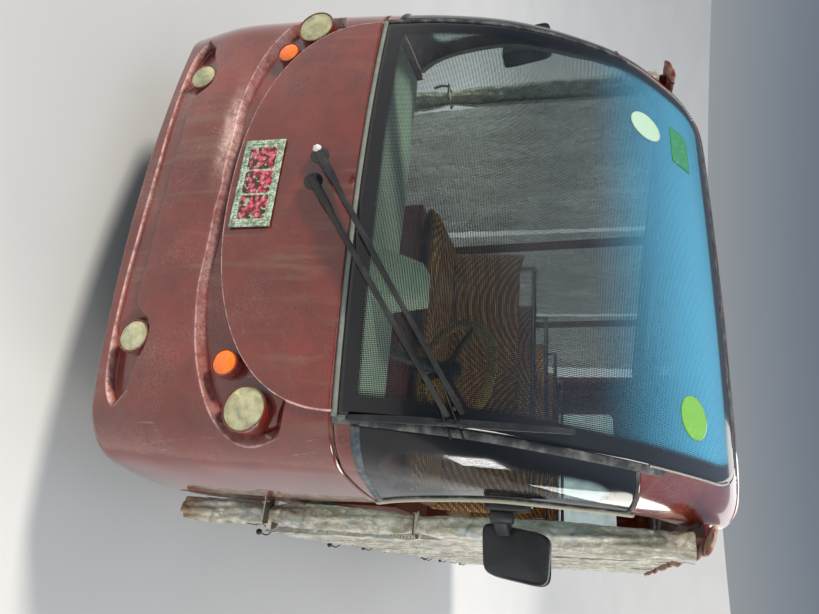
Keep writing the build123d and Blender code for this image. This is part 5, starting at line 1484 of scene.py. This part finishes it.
class BUS_OT_benches(bpy.types.Operator):
    """Bench cushions and backs in bamboo-mat covers, filled by a cloth simulation"""
    bl_idname = "bus.benches"
    bl_label = "Benches"

    def execute(self, context):
        settings = context.scene.bus_seats
        for kind in ("cushion", "back"):
            if kind == "cushion":
                width, depth, height = 1.396, .438, CUSHION_TOP - CUSHION_LOW - .012
            else:
                width, depth, height = 1.396, .428, .078
            mesh = pad_mesh(f"{kind}_pad", width, depth, height)
            points = inflated(mesh, settings.pressure, settings.cap)
            faces = [list(p.vertices) for p in mesh.polygons]
            points = self.fitted(points, width, depth, height)
            bpy.data.meshes.remove(mesh)
            for row, station in enumerate(ROW_STATIONS, 1):
                self.place(kind, row, station, points, faces)
        return {"FINISHED"}

    def fitted(self, points, width, depth, height):
        """Pad with its sewn channels pressed in and its box held to the stated sizes."""
        u, v = points[:, 0] / (width / 2), points[:, 1] / (depth / 2)
        seams = sum(bell(u - place, .007) for place in (-.335, .335))
        seams = seams + bell(np.abs(v) - .86, .018) * .5
        points = points.copy()
        points[:, 2] *= 1 - .20 * np.clip(seams, 0, 1)
        for axis, size in enumerate((width, depth, height)):
            span = np.ptp(points[:, axis])
            middle = (points[:, axis].max() + points[:, axis].min()) / 2
            points[:, axis] = (points[:, axis] - middle) * min(1, size / span)
        return points

    def place(self, kind, row, station, points, faces):
        """Copies the pad to a bench. A back stands on its lower edge and leans back."""
        moved = points.copy()
        if kind == "cushion":
            middle = (CUSHION_LOW + CUSHION_TOP) / 2
            moved[:, 2] = np.maximum(moved[:, 2] + middle, CUSHION_LOW)
            moved[:, 1] += y_of(station) + .2195
            mat = ramp(points[:, 2], .008, .022) * ramp(.696 - np.abs(points[:, 0]), .010, .016)
            uv = points[:, :2]
        else:
            y, z = -points[:, 2], points[:, 1] + .215
            cos, sin = math.cos(BACK_LEAN), math.sin(BACK_LEAN)
            moved[:, 1] = y_of(station + BACK_FOOT[0]) + .047 + y * cos + z * sin
            moved[:, 2] = BACK_FOOT[1] + z * cos - y * sin
            mat = ramp(points[:, 2], -.030, -.020) * ramp(.696 - np.abs(points[:, 0]), .010, .016)
            uv = points[:, :2] + np.array((0, .3))
        piece = mesh_piece(f"bench_{kind}_{row}", moved, faces, bench_mat(),
                           slot="seat_cover" if kind == "cushion" else "seat_mat")
        set_uv(piece, uv)
        point_values(piece, "mat", mat)
        if row == 1:
            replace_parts(piece, f"seat_{kind}s")


# Curtains

@finish("clear_sheet")
def clear_sheet(n, stained=0.0):
    """Crinkled clear plastic. Where creases bundle it is cream or dull brown and nearly opaque; the flat
    parts between let light through, and every crease catches a highlight. Near-white flecks in the colour are
    painted highlights, and pale blue-grey patches are a painted sky reflection."""
    creased = n.noise(9.0, detail=9.0, rough=.66, stretch=(1.0, 1.0, .34))
    fine = n.noise(60.0, detail=6.0, rough=.72, stretch=(1.0, 1.0, .5))
    sharp = n.cells(16.0, feature="DISTANCE_TO_EDGE")
    height = n.plus(creased, n.times(n.band(sharp, 0.0, .2), .22))
    height = n.plus(height, n.times(fine, .16))
    normal = n.bump(height, .035, 1.0)
    tone = n.mix(n.band(creased, .40, .60), lin(196, 186, 160), lin(230, 225, 208))
    # Near-white flecks on the fine crinkles: painted highlights.
    tone = n.mix(n.band(fine, .46, .62, 0.0, .8), tone, lin(250, 246, 234))
    # Pale blue-grey patches: painted sky reflection.
    tone = n.mix(n.patches(15.0, .56, .68, 0.0, .5, detail=3.0), tone, lin(150, 178, 188))
    tone = n.mix(n.patches(17.0, .60, .70, 0.0, .4, detail=4.0), tone, lin(134, 120, 72))
    low = n.times(n.band(n.axis("Z"), .34, .20), stained)
    tone = n.mix(low, tone, lin(150, 118, 78))
    cover = n.plus(n.times(creased, .6), n.times(fine, .4))
    cover = n.plus(n.band(cover, .32, .64, .36, .78), n.times(low, .4), clamp=True)
    film = n.surface(Base_Color=tone, Roughness=.34, Normal=normal, Coat_Weight=1.0, Coat_Roughness=.06)
    see = n.see_through((.86, .87, .83, 1))
    sheet = n.blend(cover, see, film)
    gloss = n.surface(Base_Color=(1, 1, 1, 1), Metallic=1.0, Roughness=.12, Normal=normal)
    return n.blend(n.times(n.gloss_share(1.5, normal), .8), sheet, gloss)


@finish("hem_tape")
def hem_tape(n, red=120, green=104, blue=74):
    """Sewn tape with tooth marks along it."""
    teeth = n.math("SINE", n.times(n.axis("Z"), 620.0))
    tone = n.mix(n.band(teeth, -.2, .4), lin(red, green, blue), lin(70, 64, 48))
    return n.surface(Base_Color=tone, Roughness=.7, Normal=n.bump(teeth, .0012, .7))


CURTAIN_SPANS = ((.800, 1.800), (1.870, 3.020), (3.090, 4.260))
CURTAIN_TOP_X, CURTAIN_LOW_X = .813, .857
CURTAIN_HIGH, CURTAIN_HEM = 1.7775, .372
BUNDLE_X, BUNDLE_TOP_S, BUNDLE_LOW_S = .814, .738, .640
BUNDLE_LOW, BUNDLE_HIGH = .202, 1.7635
# Height and width of each strap, and how far up and down it draws the bundle in
STRAPS = ((.985, .012, .06), (.505, .027, .05))


class BUS_OT_curtains(bpy.types.Operator):
    """Clear weather curtains: six hanging panels and two gathered bundles"""
    bl_idname = "bus.curtains"
    bl_label = "Curtains"

    def execute(self, context):
        for sign, side in SIDES:
            toggles = []
            for index, (start, end) in enumerate(CURTAIN_SPANS, 1):
                grid = self.panel(sign, start, end, index)
                piece = grid_piece(f"curtain_{side}_{index}", grid, clear_sheet(0.0), flip=sign > 0,
                                   slot="clear_sheet")
                toggles += self.toggles(grid, sign)
                if index == 1 and sign > 0:
                    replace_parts(piece, "curtains")
            joined(f"curtain_toggles_{side}", toggles, moulded_black(22, 22, 24), slot="black_plastic")
            self.bundle(sign, side)
        return {"FINISHED"}

    def panel(self, sign, start, end, index):
        """Hung sheet: rows go down, columns along the bus. Fold depth is a sum of two sines whose
        phases drift down the sheet, and it grows towards the hem."""
        width = end - start
        v, u = grid_of(shares(96), shares(int(115 * width)))
        folds = round(9 * width)
        drift = .5 * np.sin(2.2 * v + index) + .25 * np.sin(5.1 * v + 2 * index)
        wave = np.sin(TURN * (folds * u + .35 * np.sin(TURN * (1.5 * u + .13 * index))) + drift)
        second = np.sin(TURN * (folds * 2.3 * u + .2 * v) + 2.5 * np.sin(3 * v + 5 * u + index))
        deep = .0072 + .0034 * v
        run = width * u
        small = .0030 * np.sin(47 * v + 31 * run + 3 * np.sin(9 * v + index)) * np.sin(29 * v - 43 * run)
        small = small + .0016 * np.sin(97 * v - 71 * run + 2 * np.sin(23 * run)) * np.sin(61 * v + 89 * run)
        x = CURTAIN_TOP_X + (CURTAIN_LOW_X - CURTAIN_TOP_X) * v + deep * wave + .0030 * second + small
        slip = .010 * np.cos(TURN * folds * u + drift) * ramp(u, 0, .05) * ramp(1 - u, 0, .05)
        hem = .012 * np.sin(TURN * folds * .5 * u + index) * v ** 6
        z = CURTAIN_HIGH + (CURTAIN_HEM + .014 - CURTAIN_HIGH) * v + hem
        sway = .018 * v * np.sin(2.1 * v + 2 * index) * (u - .5)
        return np.stack([sign * x, y_of(start + u * width + slip + sway), z], -1)

    def toggles(self, grid, sign):
        """Black balls on short elastic loops along the hem."""
        parts = []
        for share in (.02, .34, .66, .98):
            column = int(share * (grid.shape[1] - 1))
            top = grid[-3, column]
            low = top + np.array((sign * .004, 0, -.050))
            loop = smooth_path([top, (top + low) / 2 + np.array((sign * .010, .010, 0)), low], 14)
            parts.append(swept(loop, circle(.0022, 6)))
            parts.append(turned(ball(.0105, 9), low, (0, 0, -1), count=14))
        return parts

    def bundle(self, sign, side):
        """Gathered sheet: a spiral of two and a half turns about a leaning line, rippled into pleats
        and drawn in where the two straps hold it."""
        turns = 2.5
        v, t = grid_of(shares(170), shares(130))
        turn = TURN * turns * t + .35 * np.sin(3 * v) + math.radians(200 if sign > 0 else -20)
        z = BUNDLE_HIGH + (BUNDLE_LOW - BUNDLE_HIGH) * v
        grip = sum(bell(z - height, width) for height, _, width in STRAPS)
        pleat = .085 * np.sin(5 * turn + 3.0 * np.sin(7 * v)) + .050 * np.sin(8 * turn - 27 * v)
        pleat = pleat + .045 * np.sin(6 * turn + 61 * v + 2 * np.sin(11 * v)) * np.sin(3 * turn - 83 * v)
        pleat = pleat + .030 * np.sin(10 * turn + 131 * v) * np.sin(4 * turn - 97 * v + 3 * np.sin(17 * v))
        size = (.46 + .50 * t) * (1 + pleat * (1 - .5 * grip)) * (1 - .30 * grip)
        size = size * (1.12 - .12 * ramp(v, .0, .04))
        belly = 1 - .10 * ramp(v, .93, 1) + .05 * np.sin(9 * v)
        x = sign * (BUNDLE_X - .001 + .0400 * size * belly * np.cos(turn))
        station = BUNDLE_TOP_S + (BUNDLE_LOW_S - BUNDLE_TOP_S) * v
        y = y_of(station) + .0455 * size * belly * np.sin(turn)
        sheet = np.stack([x, y, z], -1)
        look = dict(slot="clear_sheet", flip=sign > 0)
        piece = grid_piece(f"curtain_bundle_{side}", sheet, clear_sheet(1.0), **look)
        for height, tall, _ in STRAPS:
            middle = (BUNDLE_HIGH - height) / (BUNDLE_HIGH - BUNDLE_LOW)
            y0 = y_of(BUNDLE_TOP_S + (BUNDLE_LOW_S - BUNDLE_TOP_S) * middle)
            angle = np.linspace(0, TURN, 65)
            path = np.stack([sign * (BUNDLE_X + .0345 * np.cos(angle)), y0 + .038 * np.sin(angle),
                             height + .004 * np.sin(2 * angle)], -1)
            parts = [swept(path, rounded_bar(tall, .003, .0012), capped=False)]
            buckle = np.stack([sign * (BUNDLE_X + .032 * shares(12, -1)), np.full(12, y0 - .041),
                               np.full(12, height)], -1)
            parts.append(swept(buckle, rounded_bar(tall + .008, .006, .002)))
            tail = smooth_path([(sign * (BUNDLE_X + out), y0 + back, height - drop) for out, back, drop in
                                ((.034, -.030, 0), (.040, -.034, .030), (.036, -.030, .065))], 12)
            parts.append(swept(tail, rounded_bar(.014, .003, .0012)))
            joined(f"bundle_strap_{side}_{int(height * 1000)}", parts, hem_tape(190, 182, 160),
                                 slot="clear_sheet")
        grid_piece(f"bundle_tape_{side}", self.edge_tape(sheet), hem_tape(), **look)
        if sign > 0:
            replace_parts(piece, "curtain_bundles")

    def edge_tape(self, sheet):
        """Zip tape along the sheet's outer edge: a strip carried out from its last two columns."""
        edge, inner = sheet[:, -1], sheet[:, -5]
        out = edge - inner
        out /= np.linalg.norm(out, axis=1, keepdims=True)
        return np.stack([edge + out * d for d in (-.004, .003, .010)], 1)


# Fittings on the side openings

@finish("eave_cover")
def eave_cover(n):
    """Beige and maroon woven cover with brown cords across it."""
    cords = n.math("SINE", n.times(n.axis("Y"), 96.0))
    cord = n.band(cords, .90, .98)
    patches = n.patches(11.0, .44, .58, detail=5.0, rough=.65)
    tone = n.mix(patches, lin(176, 148, 128), lin(122, 62, 60))
    tone = n.mix(cord, tone, lin(66, 38, 26))
    weave = n.noise(300.0, detail=2.0)
    return n.surface(Base_Color=tone, Roughness=.8, Normal=n.bump(n.plus(weave, cord), .003, .7))


COVER_SPAN = (.640, 4.262)


class BUS_OT_side_trim(bpy.types.Operator):
    """Edge rubbers of the front posts, strips at the corner panes' foot and top, and the eave covers"""
    bl_idname = "bus.side_trim"
    bl_label = "Side trim"

    def execute(self, context):
        cream, grey, dark = seal_rubber(150, 144, 122), seal_rubber(54, 64, 72), seal_rubber(34, 36, 38)
        for sign, side in SIDES:
            z = np.linspace(.925, 1.60, 90)
            a = along(through(PANE_REAR[:, 0], PANE_REAR[:, 1], z), z)
            edge = hull(sign * a, z)
            joined(f"post_edge_{side}", [swept(edge, rounded_bar(.016, .020, .006))], cream,
                   slot="black_plastic")
            edge = hull(sign * (a - .017), z)
            joined(f"post_seam_{side}", [swept(edge, circle(.0040, 8))], dark, slot="black_plastic")
            q, v = grid_of(shares(60), shares(9))
            foot = through(PANE_LOW[:, 0], PANE_LOW[:, 1], q) - .012 + .024 * v
            top = pane_top(q) - .004 + .010 * v
            for name, z, rise, rubber, thickness in (
                ("foot", foot, .006, grey, .004), ("top", top, .004, dark, .003),
            ):
                skin = pushed(pane_skin(sign, z, q), rise * np.sin(math.pi * v) - .0005, flip=sign < 0)
                grid_piece(f"pane_{name}_{side}", skin, rubber, thickness=thickness, slot="black_plastic",
                           flip=sign < 0)
            start, end = COVER_SPAN
            stations = np.linspace(start, end, 300)
            line = np.stack([sign * (.800 + .003 * np.sin(9 * stations)), y_of(stations),
                             1.800 + .0030 * np.sin(13 * stations + 1)], -1)
            turn = round_angles(24)
            flat = np.stack([sign * .036 * np.cos(turn), .0100 * np.sin(turn) - .012 * np.cos(turn)], -1)
            fat = 1 + .08 * np.sin(96 * y_of(stations)) ** 8 + .07 * np.sin(21 * stations)
            ends = ramp(stations, start, start + .025) * ramp(-stations, -end, -end + .022)
            fat = fat * (.12 + .88 * np.sqrt(ends))
            joined(f"eave_cover_{side}", [swept(line, flat, scale=fat)], eave_cover(), slot="frame_paint")
        return {"FINISHED"}


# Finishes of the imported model's own nodes

@finish("satin_interior")
def interior_paint(n):
    """Satin maroon paint with chips and hand wear."""
    worn = n.group(scuff_group(), Along=(26, 26, 26), Amount=.7, Scale=7.0)["Mask"]
    tone = n.mix(n.patches(4.0, .35, .7, detail=5.0), lin(92, 34, 30), lin(118, 48, 40))
    dust = dict(Color=n.mix(worn, tone, lin(150, 120, 104)), Amount=.22, Roughness=.42)
    return n.dusted(dust, Normal=n.bump(n.noise(180.0), .0005, .3))


@finish("chassis_paint")
def chassis_paint(n):
    """Black chassis paint with road dirt and rust in patches."""
    rust = n.patches(17.0, .56, .70, detail=7.0, rough=.7)
    tone = n.mix(rust, lin(34, 34, 35), lin(104, 56, 30))
    return n.dusted(dict(Color=tone, Amount=.7, Scale=9.0, Roughness=.55),
                    Normal=n.bump(n.plus(rust, n.noise(150.0)), .001, .4))


@finish("dash_moulding")
def dash_moulding(n):
    """Sage green moulded dash with leather grain, sun-bleached in patches."""
    bleach = n.patches(3.0, .35, .7, detail=5.0)
    tone = n.mix(bleach, lin(176, 188, 166), lin(214, 222, 198))
    return n.dusted(dict(Color=tone, Amount=.25, Dust_Color=lin(206, 200, 182), Roughness=.5),
                    Normal=n.bump(n.group(grain_group(), Scale=480.0)["Height"], .0009, .5))


@finish("brushed_tube")
def brushed_tube(n):
    """Stainless tube with fine lines round it and dull patches from hands."""
    lines = n.noise(90.0, stretch=(1, 1, 18), detail=2.0)
    dull = n.patches(12.0, .45, .7, .18, .42, detail=4.0)
    return n.surface(Base_Color=lin(190, 190, 192), Metallic=1.0, Roughness=dull,
                     Normal=n.bump(lines, .0003, .3))


@finish("ribbed_floor")
def ribbed_floor(n):
    """Black floor rubber: ribs along the bus, with dust in the valleys."""
    ribs = n.math("SINE", n.times(n.axis("X"), 420.0))
    dust = n.times(n.band(ribs, .3, -.8), n.patches(5.0, .3, .7, detail=6.0))
    return n.surface(Base_Color=n.mix(dust, lin(42, 42, 42), lin(122, 110, 92)), Roughness=.8,
                     Normal=n.bump(ribs, .003, .7))


@finish("plain_pane")
def plain_pane(n):
    """Clear rear pane with dust and a Fresnel gloss."""
    film = n.patches(6.0, .35, .85, .02, .25, detail=7.0, rough=.65)
    see = n.see_through((.82, .9, .9, 1))
    gloss = n.surface(Base_Color=(.9, .95, 1, 1), Metallic=1.0, Roughness=.03)
    pane = n.blend(n.gloss_share(1.52), see, gloss)
    return n.blend(film, pane, n.surface(Base_Color=lin(160, 160, 152), Roughness=.8))


@finish("lamp_red")
def lamp_red(n):
    """Red moulded lens with prisms."""
    prisms = n.cells(150.0)
    tone = n.mix(n.band(prisms, .1, .6), lin(196, 18, 14), lin(120, 6, 8))
    return n.surface(Base_Color=tone, Roughness=.15, Coat_Weight=1.0, Coat_Roughness=.03,
                     Normal=n.bump(prisms, .001, .6))


@finish("cast_case")
def cast_case(n):
    """Cast aluminium with dirt."""
    return n.dusted(dict(Color=lin(150, 150, 152), Dust_Color=lin(88, 74, 58), Amount=.8, Roughness=.5),
                    Metallic=.6, Normal=n.bump(n.noise(220.0, detail=3.0), .0012, .5))


class BUS_OT_finishes(bpy.types.Operator):
    """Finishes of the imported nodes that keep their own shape"""
    bl_idname = "bus.finishes"
    bl_label = "Node finishes"

    def execute(self, context):
        by_finish = {
            maroon_paint(): ("roof_panel", "rear_frame", "rear_mask", "rear_flap", "side_skirts"),
            chassis_paint(): ("chassis_frame", "leaf_springs", "front_axle", "rear_axle", "knuckle_left",
                              "knuckle_right", "wheel_houses"),
            interior_paint(): ("side_frames", "curtain_channels", "seat_boxes"),
            dash_moulding(): ("dashboard",),
            moulded_black(30, 31, 34): ("steering_column", "battery_packs"),
            brushed_tube(): ("grab_rails", "pedals", "tie_rod"),
            ribbed_floor(): ("floor_pan",),
            plain_pane(): ("rear_window",),
            lamp_red(): ("tail_lamps",),
            cast_case(): ("drive_motor",),
        }
        for material, names in by_finish.items():
            for name in names:
                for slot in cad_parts[name].material_slots:
                    slot.material = material
        return {"FINISHED"}


# Stage

EYE = (.937, -3.715, 1.542)
YAW, PITCH, ROLL = math.radians(23.39), math.radians(16.96), math.radians(-1.79)
LENS = 27.83


class BUS_OT_stage(bpy.types.Operator):
    """Floor, soft studio light and the camera"""
    bl_idname = "bus.stage"
    bl_label = "Stage"

    def execute(self, context):
        scene = context.scene
        self.floor()
        self.lights(scene)
        self.camera(scene)
        return {"FINISHED"}

    def floor(self):
        """Round pale floor that rises into a backdrop far off: height grows with the square of the radius
        past a flat middle."""
        radius, angle = grid_of(np.r_[0.001, np.linspace(1, 40, 40)], round_angles(96))
        height = 8 * np.clip((radius - 14) / 26, 0, 1) ** 2
        grid = np.stack([radius * np.cos(angle), radius * np.sin(angle), height], -1)
        floor = grid_piece("studio_floor", grid, floor_paint(), closed_columns=True, body=None, flip=True)

    def lights(self, scene):
        """Large soft lamps and an even sky."""
        world = bpy.data.worlds.new("studio")
        world.use_nodes = True
        n = Nodes(world.node_tree)
        up = n.add("ShaderNodeSeparateXYZ", {0: n.add("ShaderNodeTexCoord", out="Generated")}, out="Z")
        sky = n.mix(n.band(up, .02, .35), (.40, .41, .42, 1), (.13, .17, .22, 1))
        sky = n.mix(n.band(up, .45, .95), sky, (.50, .62, .80, 1))
        world.node_tree.links.new(sky, world.node_tree.nodes["Background"].inputs["Color"])
        scene.world = world
        scene.view_settings.view_transform = "Standard"
        scene.view_settings.exposure = -.1
        for name, place, target, size, power, colour, shines in (
            ("key", (-5.6, -4.2, 5.2), (0, -1.6, .8), math.radians(9), 5.2, (1.0, .94, .85), False),
            ("fill", (4.5, -6.0, 2.6), (0, -1.0, 1.1), 4.0, 110, (.90, .95, 1.0), False),
            ("side", (8.0, 3.0, 5.4), (.8, -.4, 1.1), 4.5, 620, (1.0, .96, .88), True),
            ("strip", (5.0, -3.2, 2.4), (0, -2.0, .8), 1.2, 70, (1.0, .97, .93), True),
            ("back", (1.5, 9.5, 7.0), (0, 1.0, 1.2), 7.0, 260, (1.0, .98, .95), True),
        ):
            data = bpy.data.lights.new(name, "SUN" if name == "key" else "AREA")
            data.energy, data.color = power, colour
            setattr(data, "angle" if name == "key" else "size", size)
            lamp = bpy.data.objects.new(name, data)
            lamp.location = place
            lamp.rotation_euler = (Vector(target) - Vector(place)).to_track_quat("-Z", "Y").to_euler()
            lamp.visible_glossy = shines
            scene.collection.objects.link(lamp)

    def camera(self, scene):
        """Camera that looks along yaw, pitch and roll, held on its side as the photograph was."""
        ahead = Vector((-math.sin(YAW) * math.cos(PITCH), math.cos(YAW) * math.cos(PITCH), -math.sin(PITCH)))
        level = Vector((math.cos(YAW), math.sin(YAW), 0))
        above = level.cross(ahead)
        right = math.cos(ROLL) * level + math.sin(ROLL) * above
        up = -math.sin(ROLL) * level + math.cos(ROLL) * above
        data = bpy.data.cameras.new("camera")
        data.lens, data.sensor_width = LENS, 36.0
        data.clip_start, data.clip_end = .05, 200
        camera = bpy.data.objects.new("camera", data)
        camera.matrix_world = Matrix((
            (up.x, -right.x, -ahead.x, EYE[0]), (up.y, -right.y, -ahead.y, EYE[1]),
            (up.z, -right.z, -ahead.z, EYE[2]), (0, 0, 0, 1)))
        scene.collection.objects.link(camera)
        scene.camera = camera


@finish("studio_floor")
def floor_paint(n):
    """Plain pale floor with a faint unevenness."""
    tone = n.mix(n.patches(.6, .3, .7, detail=5.0), lin(188, 187, 185), lin(192, 191, 189))
    return n.surface(Base_Color=tone, Roughness=.75)


# Sizes and colours that a user would change

class BUS_PG_body(bpy.types.PropertyGroup):
    """Paint and dirt of the body."""
    paint_colour: bpy.props.FloatVectorProperty(
        name="Paint", description="Gel coat colour", subtype="COLOR", size=4, min=0, max=1,
        default=lin(102, 28, 18))
    paint_faded: bpy.props.FloatVectorProperty(
        name="Faded paint", description="Gel coat where the sun has faded it", subtype="COLOR", size=4, min=0,
        max=1, default=lin(124, 42, 28))
    dust: bpy.props.FloatProperty(
        name="Dust", description="Strength of the dust film", subtype="FACTOR", min=0, max=1, default=.28)


class BUS_PG_glass(bpy.types.PropertyGroup):
    """Glass and its printed border."""
    thickness: bpy.props.FloatProperty(
        name="Thickness", description="Pane thickness", unit="LENGTH", default=.005)
    border: bpy.props.FloatProperty(
        name="Border", description="Width of the solid black border", unit="LENGTH", default=.040)
    dot_width: bpy.props.FloatProperty(
        name="Dots", description="Width of the band of dots", unit="LENGTH", default=.030)
    tint: bpy.props.FloatVectorProperty(
        name="Tint", description="Colour that the glass lets through", subtype="COLOR", size=4, min=0, max=1,
        default=(.86, .93, .92, 1))


class BUS_PG_lamps(bpy.types.PropertyGroup):
    """Front lamps."""
    lens_clear: bpy.props.FloatProperty(
        name="Lens clearness", description="Share of light that aged lenses let through", subtype="FACTOR",
        min=0, max=1, default=.72)


class BUS_PG_wheels(bpy.types.PropertyGroup):
    """Tyres."""
    tread_depth: bpy.props.FloatProperty(
        name="Tread depth", description="Depth of grooves and slots", unit="LENGTH", default=.006)


class BUS_PG_seats(bpy.types.PropertyGroup):
    """Bench filling."""
    pressure: bpy.props.FloatProperty(
        name="Pressure", description="Inner pressure of the cloth simulation", default=4)
    cap: bpy.props.FloatProperty(
        name="Largest move", description="How far the filling may move the cover", unit="LENGTH", default=.024)


class BUS_PT_panel(bpy.types.Panel):
    """Lists the operators and settings."""
    bl_idname = "BUS_PT_panel"
    bl_label = "Sightseeing bus"
    bl_space_type = "VIEW_3D"
    bl_region_type = "UI"
    bl_category = "Bus"

    def draw(self, context):
        for name, kind in GROUP_TYPES.items():
            for key in kind.__annotations__:
                self.layout.prop(getattr(context.scene, name), key)
        for operator in OPERATORS:
            self.layout.operator(operator.bl_idname)


OPERATORS = (BUS_OT_nose, BUS_OT_glass, BUS_OT_dome, BUS_OT_side_trim, BUS_OT_lamps, BUS_OT_plate,
             BUS_OT_wiper, BUS_OT_stickers, BUS_OT_mirrors, BUS_OT_wheels, BUS_OT_steering, BUS_OT_benches,
             BUS_OT_curtains, BUS_OT_finishes, BUS_OT_stage)
GROUP_TYPES = {"bus_body": BUS_PG_body, "bus_glass": BUS_PG_glass, "bus_lamps": BUS_PG_lamps,
               "bus_wheels": BUS_PG_wheels, "bus_seats": BUS_PG_seats}


def register():
    for kind in (*GROUP_TYPES.values(), *OPERATORS, BUS_PT_panel):
        bpy.utils.register_class(kind)
    for name, kind in GROUP_TYPES.items():
        setattr(bpy.types.Scene, name, bpy.props.PointerProperty(type=kind))


def unregister():
    for name in GROUP_TYPES:
        delattr(bpy.types.Scene, name)
    for kind in reversed((*GROUP_TYPES.values(), *OPERATORS, BUS_PT_panel)):
        bpy.utils.unregister_class(kind)


def main():
    """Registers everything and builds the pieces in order."""
    register()
    for operator in OPERATORS:
        group, name = operator.bl_idname.split(".")
        if getattr(getattr(bpy.ops, group), name)() != {"FINISHED"}:
            raise RuntimeError(f"{operator.bl_label} didn't finish")


if __name__ == "__main__":
    main()
